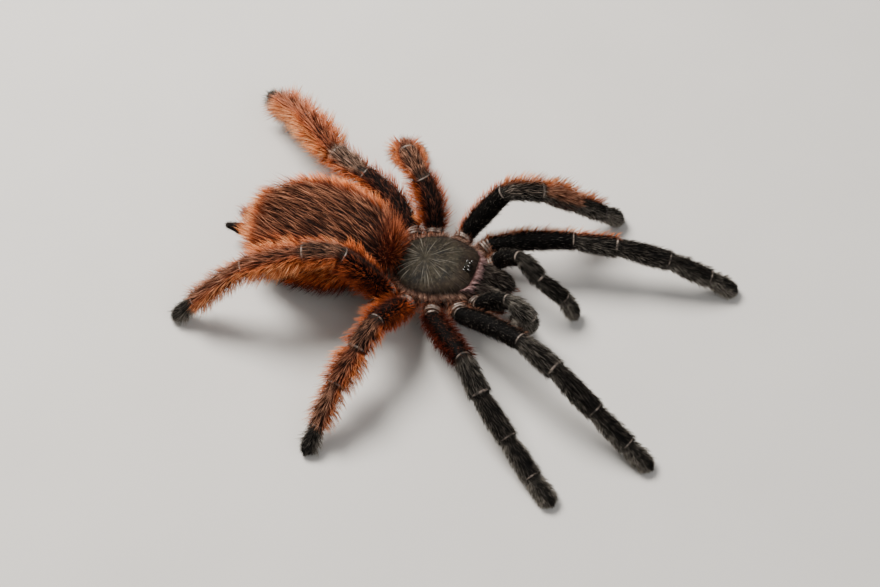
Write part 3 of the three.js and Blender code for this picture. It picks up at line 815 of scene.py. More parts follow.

# Where the abdomen's colours begin and are full, as shares of its half size: the face in
# front, the orange rim along each side, the orange tail with the darker pole inside it, where
# the grey hairs end, and how far down the flank and the belly are. The flank's darker hair
# is partly its own dark red and partly painted shade on the lower sides.
ABDOMEN_AREAS = {"face": (0.72, 0.95), "rim": (0.58, 0.74), "tail": (0.64, 0.84),
                 "pole": (0.88, 1.0), "grey_ends": (0.86, 0.96),
                 "flank": (-0.1, 0.35), "belly": (0.3, 0.6)}
WAIST = {"radius": 1.6, "from": 7.5, "height": 6.6, "length": 6.5}
SPINNERET = {"across": 1.3, "height": 5.8, "length": 8.4, "radius": 1.05, "spread": 3.0,
             "inset": 3.2}
SPINNERET_RISE = {1: -8.0, -1: 30.0}
SPINNERET_OUTLINE = ((0.0, -0.1), (1.0, 0.0), (1.1, 0.3), (0.94, 0.36), (1.0, 0.62), (0.84, 0.68),
                     (0.82, 0.93), (0.0, 1.0))

# Which way the abdomen's long hair is combed, and how deep the coat is on each part.
COMB = {"back": 1.0, "aside": 0.2, "up": 0.35}
COAT = {"shield": 0.25, "jaw": 0.4, "breast": 0.5, "abdomen": 1.7, "back": 1.2, "spinneret": 0.15}


def front_origin():
    """Middle of the front half on the ground: the waist starts a set way behind it."""
    low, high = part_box("waist")
    return np.array([(low.x + high.x) / 2 / MM, low.y / MM - WAIST["from"], 0.0])


FRONT_MIDDLE = front_origin()
BODY_SOLID = Solid("underbody")


def turned(a, b, angle):
    """Two coordinates turned from the first towards the second."""
    c, s = math.cos(angle), math.sin(angle)
    return a * c - b * s, a * s + b * c


def tip_up(points):
    """Puts a shape built round the shield's middle into the tipped-up front of the body."""
    z, y = turned(points[..., 2], points[..., 1], math.radians(SHIELD["pitch"]))
    return np.stack([points[..., 0], y, z + SHIELD["height"]], axis=-1) + FRONT_MIDDLE


def placed(points, direction, seat):
    """Turns a shape built along +Y to a direction, upright, and moves it to its seat."""
    across = unit(np.cross(direction, UP))
    axes = (across, direction, np.cross(across, direction))
    return sum(points[..., k : k + 1] * axis for k, axis in enumerate(axes)) + seat


def sweep(rows, columns, last=1.0):
    """Steps from 0 to the last value down the rows, and once round along the columns."""
    return np.linspace(0.0, last, rows)[:, None], np.linspace(0.0, 2 * math.pi, columns)[None, :]


def unit_ball(rows, columns):
    """A unit ball in rows from pole to pole: two ways across, and along the poles' axis."""
    fall, turn = sweep(rows, columns, math.pi)
    return np.sin(fall) * np.cos(turn), np.sin(fall) * np.sin(turn), np.cos(fall) + 0 * turn


def egg(radii, rows, columns):
    """An egg with its poles on the Y axis, front pole first."""
    x, z, ahead = unit_ball(rows, columns)
    return np.stack([x * radii[0], -ahead * radii[1], z * radii[2]], axis=-1)


def breast_guide():
    radii = [BREAST[size] / 2 - COAT["breast"] for size in ("width", "length", "depth")]
    points = egg(radii, 31, 31) + FRONT_MIDDLE + UP * BREAST["height"]
    return Guide(points, coat_marks((18, 1.0, 0.6, 0.12, 0.1), (4, 1.8, 0.8, 0.2, 0.2)))


def waist_guide():
    y, turn = sweep(15, 17, WAIST["length"])
    radius = WAIST["radius"] * np.sqrt(np.clip(np.minimum(y, WAIST["length"] - y), 0.0, 1.0))
    x, z = radius * np.cos(turn), radius * np.sin(turn) + WAIST["height"]
    points = np.stack([x, y + WAIST["from"] + 0 * turn, z], axis=-1) + FRONT_MIDDLE
    return Guide(points, coat_marks((14, 1.0, 0.5, 0.3, 0.1), (2, 1.6, 0.7, 0.4, 0.1)))


OUTLINE_ROUNDING = 0.3


def turned_rows(outline, length, radii, rows, columns):
    """A turned tube along +Y from an outline of radius and reach shares, finely rounded."""
    steps = np.linspace(0.0, len(outline) - 1.0, rows)
    knots = np.arange(len(outline))
    rounding = rows / len(outline) * OUTLINE_ROUNDING
    r, y = (soften(np.interp(steps, knots, np.array(k)), rounding) for k in zip(*outline))
    r[0] = r[-1] = 0.0
    _, turn = sweep(rows, columns)
    x, z = r[:, None] * np.cos(turn) * radii[0], r[:, None] * np.sin(turn) * radii[1]
    return np.stack([x, (y * length)[:, None] + 0 * turn, z], axis=-1)


def jaw_seat(sign, height):
    return FRONT_MIDDLE + np.array([sign * JAW["across"], JAW["back"], height])


def jaw_direction():
    droop = math.radians(JAW["droop"])
    return np.array([0.0, -math.cos(droop), -math.sin(droop)])


def jaw_guide(sign):
    thin = COAT["jaw"]
    radii = (JAW["width"] - thin, JAW["depth"] - thin)
    points = turned_rows(JAW_OUTLINE, JAW["length"] - thin, radii, 41, 33)
    share, turn = sweep(*points.shape[:2])
    upper = np.sin(turn) + 0 * share
    front = smooth_step(share, 0.35, 0.7)
    below = smooth_step(-upper, 0.1, 0.6) * front
    above = smooth_step(upper, 0.0, 0.7)
    down = (26, 0.9, 0.5, 0.1 - 0.06 * front + below * 0.4, 0.14 + 0.16 * above)
    guard = (5 + 4 * below + 4 * above, 1.7 + 0.7 * below, 0.3 + 0.6 * below,
             0.08 + 0.4 * below, 0.25 + 0.65 * above)
    placed_jaw = placed(points, jaw_direction(), jaw_seat(sign, JAW["height"]))
    return Guide(placed_jaw, coat_marks(down, guard))


def abdomen_lie():
    turn, pitch = math.radians(ABDOMEN["turn"]), math.radians(ABDOMEN["pitch"])
    level = np.array([-math.sin(turn), math.cos(turn), 0.0])
    back = level * math.cos(pitch) + UP * math.sin(pitch)
    low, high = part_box("abdomen")
    middle = np.array([(low.x + high.x) / 2, (low.y + high.y) / 2, high.z]) / MM
    middle[2] -= ABDOMEN["depth"] / 2
    return back, middle


def abdomen_guide():
    back, middle = abdomen_lie()
    aside, upper, ahead = unit_ball(61, 61)
    full = 1 - ABDOMEN["fullness"] * ahead - ABDOMEN["taper"] * ahead * ahead
    flat = np.where(upper < 0, ABDOMEN["belly"], 1.0)
    x = aside * full * (ABDOMEN["width"] / 2 - COAT["abdomen"])
    y = -ahead * (ABDOMEN["length"] / 2 - COAT["abdomen"])
    z = upper * full * flat * (ABDOMEN["depth"] / 2 - COAT["back"])
    points = placed(np.stack([x, y, z], axis=-1), back, middle)
    across = unit(np.cross(back, UP))
    axes = np.stack([across, back, np.cross(across, back)])
    normal = unit((points - middle) @ axes.T / np.array(ABDOMEN_CURVE) ** 2) @ axes
    comb = back * COMB["back"] + across * COMB["aside"] + UP * COMB["up"]
    comb = comb - normal * np.sum(comb * normal, axis=-1, keepdims=True)
    along = {"face": ahead, "rim": np.abs(aside), "tail": -ahead, "pole": -ahead,
             "grey_ends": -ahead, "flank": -upper, "belly": -upper}
    area = {name: smooth_step(along[name], *ends) for name, ends in ABDOMEN_AREAS.items()}
    face, belly = area["face"], area["belly"]
    tail = area["tail"] * (1 - 0.75 * area["pole"])
    warm = np.maximum(area["rim"], tail)
    # The lower flank loses warmth and pale: partly the hair's own dark red, partly painted shade.
    flank = area["flank"] * (1 - 0.7 * tail)
    top = (1 - face) * (1 - warm)
    out = unit(np.gradient(points, axis=0))
    lie = unit(comb * (1 - 0.6 * warm[..., None]) + out * 0.6 * warm[..., None])
    down = (20 - 6 * belly, 1.5 + 0.5 * warm, 0.5 + 0.5 * warm,
            0.2 + 0.32 * warm * (1 - flank) + 0.24 * face, 0.0)
    warmth = 0.36 + (0.44 + 0.2 * tail) * warm * (1 - flank) + 0.18 * face
    pale = (0.62 - 0.5 * warm - 0.36 * face) * (1 - flank)
    guard = (1.9 + 9.6 * warm + 6.4 * face - 6 * belly * warm,
             3.4 + 3.2 * top + 0.5 * face, 0.2 + 1.4 * warm + 0.9 * face,
             warmth * (1 - 0.25 * flank), pale * (1 - 0.8 * area["grey_ends"]))
    return Guide(points, coat_marks(down, guard), lie)


def spinneret_guide(sign):
    back, middle = abdomen_lie()
    x, y, z = back
    y, z = turned(y, z, math.radians(SPINNERET_RISE[sign]))
    x, y = turned(x, y, -sign * math.radians(SPINNERET["spread"]))
    radius = SPINNERET["radius"] - COAT["spinneret"]
    length = SPINNERET["length"] - 2 * COAT["spinneret"]
    points = turned_rows(SPINNERET_OUTLINE, length, (radius, radius), 41, 21)
    seat = middle + back * (ABDOMEN["length"] / 2 - SPINNERET["inset"])
    seat = np.array([seat[0] + sign * SPINNERET["across"], seat[1], SPINNERET["height"]])
    marks = coat_marks((24, 0.7, 0.45, 0.06, 0.22), (3, 1.0, 0.6, 0.08, 0.3))
    return Guide(placed(points, np.array([x, y, z]), seat), marks)


# ----------------------------------------------------------------------------- the shield


def dome_height(ahead):
    rise = smooth_step((ahead + HEAD["from"]) / HEAD["rises_over"])
    return SHIELD["dome"] + HEAD["rise"] * rise


def head_share(y):
    """0 on the chest, growing to 1 at the front of the head."""
    return smooth_step((-y - HEAD["from"]) / HEAD["drops_over"])


def head_drop(y):
    """How far the edge of the head drops over the jaws."""
    return HEAD["drop"] * head_share(y)


def shield_plan(x, y):
    """Places points of a unit disc in the shield's plan: an oval with a blunt head end."""
    thin = COAT["shield"]
    ahead = head_share(y)
    power = 2 + (HEAD["corners"] - 2) * ahead
    out = np.maximum(np.hypot(x, y), 1e-6)
    square = np.maximum(np.abs(x / out) ** power + np.abs(y / out) ** power, 1e-3) ** (-1 / power)
    width = (SHIELD["width"] / 2 - thin) * (1 - HEAD["narrowing"] * ahead)
    reach = np.where(y < 0, HEAD["reach"], SHIELD["length"] / 2) - thin
    return x * square * width, y * square * reach


# Where the pit is, which the rays, the furrows and the shield's hair all run out from.
PIT_SPOT = tip_up(np.array([0.0, PIT["behind"] * SHIELD["length"] / 2, SHIELD["dome"]]))

# Furrows on the shield: one pair parts the head from the chest, and three shallow pairs run
# out from the pit. Each is the angle from straight ahead, depth and width. They all begin and
# end at these distances from the pit.
FURROWS = ((35.0, 0.16, 0.045), (74.0, 0.08, 0.04), (106.0, 0.07, 0.04), (138.0, 0.07, 0.04))
FURROW_DEPTH = 0.34
FURROW_STARTS, FURROW_ENDS = (0.06, 0.2), (0.6, 0.95)
SHIELD_EDGE = (0.72, 0.98)


def shield_points(rows=81, columns=121):
    """Rows from the crown to the keel of the shield: its points and how deep a furrow is."""
    x, y, z = unit_ball(rows, columns)
    drop = head_drop(y)
    height = np.where(z > 0, dome_height(-y) + drop, SHIELD["rim"]) - COAT["shield"]
    behind = y - PIT["behind"]
    pit = np.exp(-((behind / PIT["length"]) ** 2) - (x / PIT["width"]) ** 2)
    pit = PIT["depth"] * pit * (z > 0)
    out = np.hypot(x, behind)
    angle = np.degrees(np.abs(np.arctan2(x, -behind)))
    groove = np.zeros_like(out)
    starts, ends = smooth_step(out, *FURROW_STARTS), 1 - smooth_step(out, *FURROW_ENDS)
    for course, depth, width in FURROWS:
        off = out * np.sin(np.radians(np.clip(angle - course, -80, 80)))
        furrow = hump(off, 0.0, width) * starts * ends * depth / FURROW_DEPTH
        groove = np.maximum(groove, furrow)
    groove = groove * (z > 0)
    plan_x, plan_y = shield_plan(x, y)
    dome = np.sign(z) * np.abs(z) ** SHIELD["roundness"] * height
    points = np.stack([plan_x, plan_y, dome - pit - groove * FURROW_DEPTH - drop], axis=-1)
    # The depth of the furrows and the pit also goes out as the mark that paints shade in them.
    return tip_up(points), np.clip(groove + pit * 2, 0, 1), out


# The shield's hair, by height over its rim: it begins just under the rim, and the fringe is
# a band just above it, which ends where the head begins. Near is a felt round the pit.
SHIELD_HAIR = {"begins": (-0.1, 0.05), "fringe": (0.12, 0.14), "fringe_begins": (-0.04, 0.04),
               "fringe_ends": (0.6, 0.8), "near": (0.35, 0.75)}


def shield_guide():
    """The shield's surface with its coat: felt, long streaks from the pit, and a fringe."""
    points, _, out = shield_points(61, 97)
    _, y, height = unit_ball(61, 97)
    above = smooth_step(height, *SHIELD_HAIR["begins"])
    edge = hump(height, *SHIELD_HAIR["fringe"]) * smooth_step(height, *SHIELD_HAIR["fringe_begins"])
    edge = edge * (1 - smooth_step(-y, *SHIELD_HAIR["fringe_ends"]))
    down_slope, round_rim = np.gradient(points, axis=(0, 1))
    normal = unit(np.cross(down_slope, round_rim))
    lie = points - PIT_SPOT
    lie = unit(lie - normal * np.sum(lie * normal, axis=-1, keepdims=True))
    near = 1 - smooth_step(out, *SHIELD_HAIR["near"])
    down = (above * (9 + 60 * edge), 0.7 + 0.7 * edge, 0.25 + 1.1 * edge,
            0.12 + 0.35 * edge, 0.03 + 1.0 * edge)
    guard = (above * (1.2 + 0.8 * near + 42.0 * edge), 2.6 - 0.8 * edge, 0.14 + 1.7 * edge,
             0.1 + 0.4 * edge, 0.35 + 0.2 * near + 0.95 * edge)
    return Guide(points, coat_marks(down, guard), lie)


# The brow: how far round the head's front it reaches, how thick its cord is, how high it
# lies, its share of the shield's plan, and which way its hair points.
BROW = {"half_turn": 50.0, "thick": (0.42, 0.7), "above": 2.1, "share": 0.955,
        "aim": (0.0, -1.0, -0.25), "steps": 49, "sides": 13}


def blunt_ends(steps):
    """How thick a cord is along its length: full, and closed at both ends."""
    return np.sqrt(np.clip(1 - np.linspace(-1, 1, steps) ** 4, 0, 1))


def brow_guide():
    """A short cord along the front edge of the shield, which carries the brow's fringe."""
    turn = np.radians(np.linspace(-BROW["half_turn"], BROW["half_turn"], BROW["steps"]))
    across, along = shield_plan(np.sin(turn), -np.cos(turn))
    height = (BROW["above"] - head_drop(-np.cos(turn))) / BROW["share"]
    core = np.stack([across, along, height], axis=-1) * BROW["share"]
    out = unit(np.cross(unit(np.gradient(core, axis=0)), UP)) * -1.0
    thick = blunt_ends(BROW["steps"])[:, None, None]
    ring = np.linspace(0.0, 2 * math.pi, BROW["sides"])[None, :, None]
    deep, tall = BROW["thick"]
    round_core = np.cos(ring) * out[:, None, :] * deep + np.sin(ring) * UP * tall
    points = core[:, None, :] + thick * round_core
    lie = np.broadcast_to(unit(np.array(BROW["aim"])), points.shape)
    facing = smooth_step(np.cos(ring[..., 0]), -0.5, 0.0) + 0 * thick[..., 0]
    down, guard = (70 * facing, 1.2, 0.45, 0.45, 1.0), (14 * facing, 2.2, 0.4, 0.5, 1.8)
    return Guide(tip_up(points), coat_marks(down, guard), lie)


# --------------------------------------------------------------------- bristles and coats

# Bristles: how far the middle arches off the chord, how many joints they bend in, and how
# strongly neighbours lean together into wisps.
BRISTLES = {
    "down": {"Arch": 0.0, "Joints": 1, "Gather": 0.35},
    "guard": {"Arch": 0.09, "Joints": 2, "Gather": 1.0},
}

# How large a patch of the coat's map each bristle takes.
PATCH = 0.003

# A bristle of this length has its slenderness as it is given; longer ones are finer for
# their length. Its root is sunk a little into the skin.
BREADTH_AT = 2.0
SUNK = 0.1

# Noise over the coat, in turns per metre: hairs sway together, and each is wavy.
SWAY, WAVE = 260.0, 600.0

# Sizes of a coat: how full it is, how far hairs sway together and stray alone, wisps per
# metre and how strongly they gather, each layer's half width as a share of length, and how
# wavy the hairs are.
COAT_SIZES = {"Fullness": 1.0, "Sway": 0.3, "Stray": 0.18, "Wisps": 1100.0, "Gather": 1.1,
              "Down slenderness": 0.029, "Guard slenderness": 0.021, "Wave": 0.0003}

# Where one coat's sizes differ, and the seed of every coat's random draws.
FRONT_SIZES = {"Wisps": 2000.0, "Gather": 0.6, "Guard slenderness": 0.028}
FRONT_LIMBS = [limb for limb, kind in LIMBS.items() if COATS_OF[kind] is FRONT_COATS]
OWN_SIZES = {f"coat_{limb}": FRONT_SIZES for limb in FRONT_LIMBS} | {
    "coat_abdomen_down": {"Sway": 0.5},
    "coat_abdomen_long": {"Sway": 0.6, "Guard slenderness": 0.0185, "Wave": 0.0008,
                          "Wisps": 900.0, "Gather": 0.6},
    "coat_brow": {"Gather": 1.0, "Wisps": 1800.0, "Stray": 0.1},
    "coat_shield": {"Sway": 0.2, "Stray": 0.1, "Guard slenderness": 0.014},
}
SEEDS = {f"coat_{limb}": 100 * number + 1 for number, limb in enumerate(LIMBS)} | {
    "coat_abdomen_down": 2001, "coat_abdomen_long": 2101, "coat_underbody": 2201,
    "coat_jaws": 2301, "coat_shield": 2401, "coat_brow": 2501,
}


class Grower(Bench):
    """Adds the nodes that grow a coat."""

    def store(self, geometry, name, value, kind="FLOAT", domain="POINT"):
        settings = {"data_type": kind, "domain": domain}
        inputs = {"Geometry": geometry, "Name": name, "Value": value}
        return self.add("GeometryNodeStoreNamedAttribute", settings, inputs).outputs[0]

    def mark(self, name, kind="FLOAT"):
        settings = {"data_type": kind}
        return self.level("GeometryNodeInputNamedAttribute", settings, {"Name": name}, "Attribute")

    def spot(self):
        return self.add("GeometryNodeInputPosition").outputs[0]

    def moved(self, geometry, **how):
        inputs = {"Geometry": geometry} | how
        return self.add("GeometryNodeSetPosition", None, inputs).outputs[0]

    def ripple(self, scale, detail):
        """A vector that swings about zero from place to place."""
        inputs = {"Vector": self.spot(), "Scale": scale, "Detail": detail}
        noise = self.add("ShaderNodeTexNoise", None, inputs)
        return self.vector("SUBTRACT", noise.outputs["Color"], (0.5, 0.5, 0.5))

    def chance(self, kind, low, high, seed):
        """A number or vector that each hair draws for itself."""
        inputs = {"Min": low, "Max": high, "Seed": seed}
        return self.level("FunctionNodeRandomValue", {"data_type": kind}, inputs, "Value")

    def bristle(self, shape, slender):
        """One closed three-sided bristle of unit length along +Z, arching towards +X."""
        cone = {"Vertices": 3, "Side Segments": shape["Joints"], "Fill Segments": 1,
                "Radius Top": 0.0, "Radius Bottom": slender, "Depth": 1.0}
        bristle = self.add("GeometryNodeMeshCone", {"fill_type": "NGON"}, cone).outputs["Mesh"]
        spot = self.spot()
        across, _, height = self.parts(spot)
        patch = self.joined(across / (slender * 2) + 0.5, height)
        bristle = self.store(bristle, "tip", height)
        bristle = self.store(bristle, "patch", patch, "FLOAT_VECTOR")
        fuller = 1 + height * (1 - height) * 2.0
        arch = height * (1 - height) * (4 * shape["Arch"])
        swell = self.joined(fuller, fuller, 1.0)
        bent = self.vector("MULTIPLY_ADD", spot, swell, self.joined(arch))
        return self.moved(bristle, Position=bent)

    def layer(self, surface, layer, sizes, seed):
        """Scatters one layer of bristles over a guide, laid along its lie."""
        density, length, lift, warmth, pale = (self.mark(f"{layer}_{m}") for m in LAYER_MARKS)
        inputs = {"Mesh": surface, "Density": density * sizes["Fullness"], "Seed": seed}
        scatter = self.add("GeometryNodeDistributePointsOnFaces", None, inputs)
        normal, spot = scatter.outputs["Normal"], self.spot()
        inputs = {"Vector": spot, "Scale": sizes["Wisps"]}
        wisps = self.add("ShaderNodeTexVoronoi", None, inputs).outputs
        inward = self.vector("SUBTRACT", wisps["Position"], spot)
        rising = self.level("ShaderNodeVectorMath", {"operation": "DOT_PRODUCT"},
                            {0: inward, 1: normal}, "Value")
        inward = self.vector("SUBTRACT", inward, self.times(normal, rising))
        gather = sizes["Gather"] * BRISTLES[layer]["Gather"] / length.most(0.3 * MM)
        stray = self.chance("FLOAT_VECTOR", (-1.0, -1.0, -1.0), (1.0, 1.0, 1.0), seed + 1)
        aim = self.plus(self.mark("lie", "FLOAT_VECTOR"), self.times(normal, lift),
                        self.times(self.ripple(SWAY, 1.0), sizes["Sway"]),
                        self.times(inward, gather), self.times(stray, sizes["Stray"]))
        turned_up = self.add("FunctionNodeAlignRotationToVector", {"axis": "Z"}, {"Vector": aim})
        inputs = {"Rotation": turned_up.outputs[0], "Vector": normal}
        turned = self.add("FunctionNodeAlignRotationToVector",
                          {"axis": "X", "pivot_axis": "Z"}, inputs).outputs[0]
        taller, darker, _ = self.parts(wisps["Color"])
        growth = self.chance("FLOAT", 0.6, 1.0, seed + 2) * (0.8 + 0.5 * taller)
        tone = self.chance("FLOAT", -0.6, 0.6, seed + 3) + (darker - 0.5) * 0.9
        points = scatter.outputs["Points"]
        for mark, value in (("tone", tone), ("warmth", warmth), ("pale", pale)):
            points = self.store(points, mark, value)
        points = self.moved(points, Offset=self.times(normal, -SUNK * MM))
        breadth = growth * (length * BREADTH_AT * MM) ** 0.5
        inputs = {"Points": points, "Rotation": turned,
                  "Instance": self.bristle(BRISTLES[layer], sizes[f"{layer.title()} slenderness"]),
                  "Scale": self.joined(breadth, breadth, growth * length)}
        return self.add("GeometryNodeInstanceOnPoints", None, inputs).outputs[0]


def coat_tree(name, material, layers):
    """Node tree that grows a coat on a guide and ends in plain bristle meshes."""
    tree = bpy.data.node_groups.new(name, "GeometryNodeTree")
    tree.interface.new_socket("Skin", in_out="INPUT", socket_type="NodeSocketGeometry")
    for size, value in COAT_SIZES.items():
        socket = tree.interface.new_socket(size, in_out="INPUT", socket_type="NodeSocketFloat")
        socket.default_value = value
    tree.interface.new_socket("Coat", in_out="OUTPUT", socket_type="NodeSocketGeometry")
    grower = Grower(tree)
    given = grower.add("NodeGroupInput").outputs
    sizes = {size: Level(grower, given[size]) for size in COAT_SIZES}
    join = grower.add("GeometryNodeJoinGeometry")
    for number, layer in enumerate(layers):
        hairs = grower.layer(given["Skin"], layer, sizes, SEEDS[name] + 10 * number)
        grower.fill(join.inputs[0], hairs)
    inputs = {"Geometry": join.outputs[0]}
    coat = grower.add("GeometryNodeRealizeInstances", None, inputs).outputs[0]
    swing = grower.times(grower.ripple(WAVE, 0.0), grower.mark("tip") * sizes["Wave"])
    x, y, z = grower.parts(grower.plus(grower.spot(), swing))
    coat = grower.moved(coat, Position=grower.joined(x, y, z.most(0.03 * MM)))
    patch = grower.times(grower.mark("patch", "FLOAT_VECTOR"), PATCH)
    where = grower.plus(grower.mark("place", "FLOAT_VECTOR"), patch)
    coat = grower.store(coat, "OFBake", where, "FLOAT2", "CORNER")
    inputs = {"Geometry": coat, "Shade Smooth": True}
    coat = grower.add("GeometryNodeSetShadeSmooth", None, inputs).outputs[0]
    inputs = {"Geometry": coat, "Material": material}
    coat = grower.add("GeometryNodeSetMaterial", None, inputs).outputs[0]
    grower.add("NodeGroupOutput", None, {0: coat})
    return tree


# What a coat's mesh keeps of the marks that its tree and guides wrote.
KEPT_MARKS = {"tip", "tone", "warmth", "pale", "OFBake", "position", "sharp_face", "material_index"}


def grow_coat(name, guides, material, layers=LAYERS):
    """Grows a coat on guides and adds it as one plain mesh that rides on the body."""
    carrier = join_guides(f"{name}_guide", guides)
    tree = coat_tree(name, material, layers)
    modifier = carrier.modifiers.new("coat", "NODES")
    modifier.node_group = tree
    own = OWN_SIZES.get(name, {})
    for item in tree.interface.items_tree:
        if item.in_out == "INPUT" and item.name in own:
            modifier[item.identifier] = own[item.name]
    mesh = settled_mesh(carrier, name)
    for mark in [a.name for a in mesh.attributes]:
        if mark not in KEPT_MARKS and not mark.startswith("."):
            mesh.attributes.remove(mesh.attributes[mark])
    add_piece(name, mesh)


def settled_mesh(carrier, name):
    """The evaluated object as a plain mesh of its own; the object itself goes."""
    scene_graph = bpy.context.evaluated_depsgraph_get()
    mesh = bpy.data.meshes.new_from_object(carrier.evaluated_get(scene_graph),
                                           preserve_all_data_layers=True, depsgraph=scene_graph)
    mesh.name = name
    bpy.data.objects.remove(carrier)
    return mesh


def add_piece(name, mesh, material=None):
    if material:
        mesh.materials.append(material)
    piece = add_object(name, mesh)
    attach(piece, "root")
    return piece


def join_guides(name, guides):
    """One object from several guides' meshes, their marks kept."""
    carriers = [add_object(name, guide.mesh(f"{name}_{i}")) for i, guide in enumerate(guides)]
    first = carriers[0]
    if len(carriers) > 1:
        with bpy.context.temp_override(active_object=first, selected_editable_objects=carriers):
            bpy.ops.object.join()
    return first


# ----------------------------------------------------------------------------------- skin

SKIN_VOXEL = 0.35
SKIN_RELAX = {"factor": 0.5, "iterations": 2}
GUIDE_SEAM, GUIDE_SLIVER = 0.0005, 0.0001
SKIN_MARKS = ("down_warmth", "skin_pale")
BARE_NODES = ("carapace", "eye_mound", "fang_left", "fang_right")

# The skin takes its marks from this many points near it, the closer the more.
MARKS_FROM, MARKS_NEAR = 3, 0.02


def build_skin(guides, material):
    """One skin over all guides, closed and even, with the marks of the guide beneath."""
    carrier = join_guides("skin_form", guides)
    form = bmesh.new()
    form.from_mesh(carrier.data)
    bmesh.ops.remove_doubles(form, verts=form.verts, dist=GUIDE_SEAM * MM)
    bmesh.ops.dissolve_degenerate(form, edges=form.edges, dist=GUIDE_SLIVER * MM)
    form.to_mesh(carrier.data)
    form.free()
    remesh = carrier.modifiers.new("remesh", "REMESH")
    remesh.mode, remesh.voxel_size, remesh.use_smooth_shade = "VOXEL", SKIN_VOXEL * MM, True
    relax = carrier.modifiers.new("relax", "SMOOTH")
    relax.factor, relax.iterations = SKIN_RELAX["factor"], SKIN_RELAX["iterations"]
    mesh = settled_mesh(carrier, "skin")
    copy_marks(mesh, guides)
    mesh.materials.clear()
    skin = add_piece("skin", mesh, material)
    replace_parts(skin, *[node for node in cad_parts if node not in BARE_NODES])


def copy_marks(mesh, guides):
    """Gives each point of the skin the marks of the guides' points nearest to it."""
    points = np.concatenate([g.points.reshape(-1, 3) for g in guides])
    tree = KDTree(len(points))
    for i, point in enumerate(points.tolist()):
        tree.insert(point, i)
    tree.balance()
    spots = corners(mesh) / MM
    nearest, weights = np.empty((len(spots), MARKS_FROM), int), np.empty((len(spots), MARKS_FROM))
    for i, spot in enumerate(spots.tolist()):
        for k, (_, index, distance) in enumerate(tree.find_n(spot, MARKS_FROM)):
            nearest[i, k], weights[i, k] = index, 1 / (distance + MARKS_NEAR)
    weights /= weights.sum(axis=1, keepdims=True)
    for name in SKIN_MARKS:
        values = np.concatenate([g.marks[name].reshape(-1) for g in guides])
        write_mark(mesh, name, (values[nearest] * weights).sum(axis=1), "FLOAT")


# ----------------------------------------------------------------------- shell, eyes, fangs


SHELL_SEAM = 0.002


def grid_mesh(name, points, marks=None):
    """A closed mesh from rows of points that meet at their sides and end in poles."""
    mesh = Guide(points, marks or {}).mesh(name)
    form = bmesh.new()
    form.from_mesh(mesh)
    bmesh.ops.remove_doubles(form, verts=form.verts, dist=SHELL_SEAM * MM)
    bmesh.ops.recalc_face_normals(form, faces=form.faces)
    form.to_mesh(mesh)
    form.free()
    for mark in ("lie", "place"):
        mesh.attributes.remove(mesh.attributes[mark])
    mesh.shade_smooth()
    return mesh


def add_shell(name, points, marks, material):
    return add_piece(name, grid_mesh(name, points, marks), material)


def add_set(name, forms, material):
    """One piece from many small closed forms, each given as rows of points."""
    whole = bmesh.new()
    for number, points in enumerate(forms):
        whole.from_mesh(grid_mesh(f"{name}_{number}", points))
    mesh = bpy.data.meshes.new(name)
    whole.to_mesh(mesh)
    whole.free()
    mesh.shade_smooth()
    return add_piece(name, mesh, material)


def build_shield(material):
    points, groove, out = shield_points()
    marks = {"groove": groove, "edge": smooth_step(out, *SHIELD_EDGE)}
    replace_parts(add_shell("shield", points, marks, material), "carapace")


# The eye mound, whose shell is this much thinner than its solid, and the eyes of one side.
MOUND = {"forward": 7.2, "width": 2.8, "length": 2.0, "height": 1.5, "thin": 0.1}
EYES = (
    {"across": 0.42, "forward": 0.45, "up": 0.42, "radii": (0.33, 0.33, 0.31)},
    {"across": 1.12, "forward": 0.62, "up": 0.1, "radii": (0.3, 0.38, 0.3)},
    {"across": 0.78, "forward": -0.3, "up": 0.34, "radii": (0.2, 0.27, 0.2)},
    {"across": 1.24, "forward": -0.42, "up": 0.05, "radii": (0.25, 0.35, 0.25)},
)


def build_eyes(shell, gloss):
    ahead = MOUND["forward"] / HEAD["reach"]
    drop = head_drop(-ahead)
    top = (dome_height(ahead) + drop) * math.sqrt(1 - ahead**2) ** SHIELD["roundness"] - drop
    thin = MOUND["thin"]
    radii = (MOUND["width"] / 2 - thin / 2, MOUND["length"] / 2 - thin / 2, MOUND["height"] - thin)
    hill = egg(radii, 25, 33) + np.array([0.0, -MOUND["forward"], top - MOUND["height"] / 2])
    marks = {"groove": 1.0, "edge": 0.0}
    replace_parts(add_shell("eye_mound", tip_up(hill), marks, shell), "eye_mound")
    beads = []
    for eye in EYES:
        for sign in (1, -1):
            seat = (sign * eye["across"], -MOUND["forward"] - eye["forward"], top + eye["up"])
            beads.append(tip_up(egg(eye["radii"], 17, 21) + np.array(seat)))
    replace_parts(add_set("eyes", beads, gloss), "eye_mound")


FANG = {"length": 4.8, "base": 0.72, "tip": 0.1, "curl": 50.0, "seat": 0.86, "sunk": 0.72}
FANG_AIM = {"inward": 0.1, "back": 0.75, "down": 0.65}
CLAW = {"length": 1.15, "base": 0.15, "tip": 0.03, "curl": 80.0, "apart": 0.24, "up": 0.3,
        "sunk": 0.3}
CLAW_SAMPLES = 7


def horn_points(size, rows, columns):
    """A tapering horn along +Y that curls up towards +Z, and each point's share of its length."""
    share, turn = sweep(rows, columns)
    closing = np.sqrt(np.clip(np.minimum(share, 1 - share) * (rows - 1), 0, 1))
    radius = (size["base"] + (size["tip"] - size["base"]) * share**0.8) * closing
    x, z, y = radius * np.cos(turn), radius * np.sin(turn), share * size["length"] + 0 * turn
    bend = math.radians(size["curl"]) / size["length"]
    inward = 1 / bend - z
    points = np.stack([x, np.sin(y * bend) * inward, 1 / bend - np.cos(y * bend) * inward], axis=-1)
    return points, share + 0 * turn


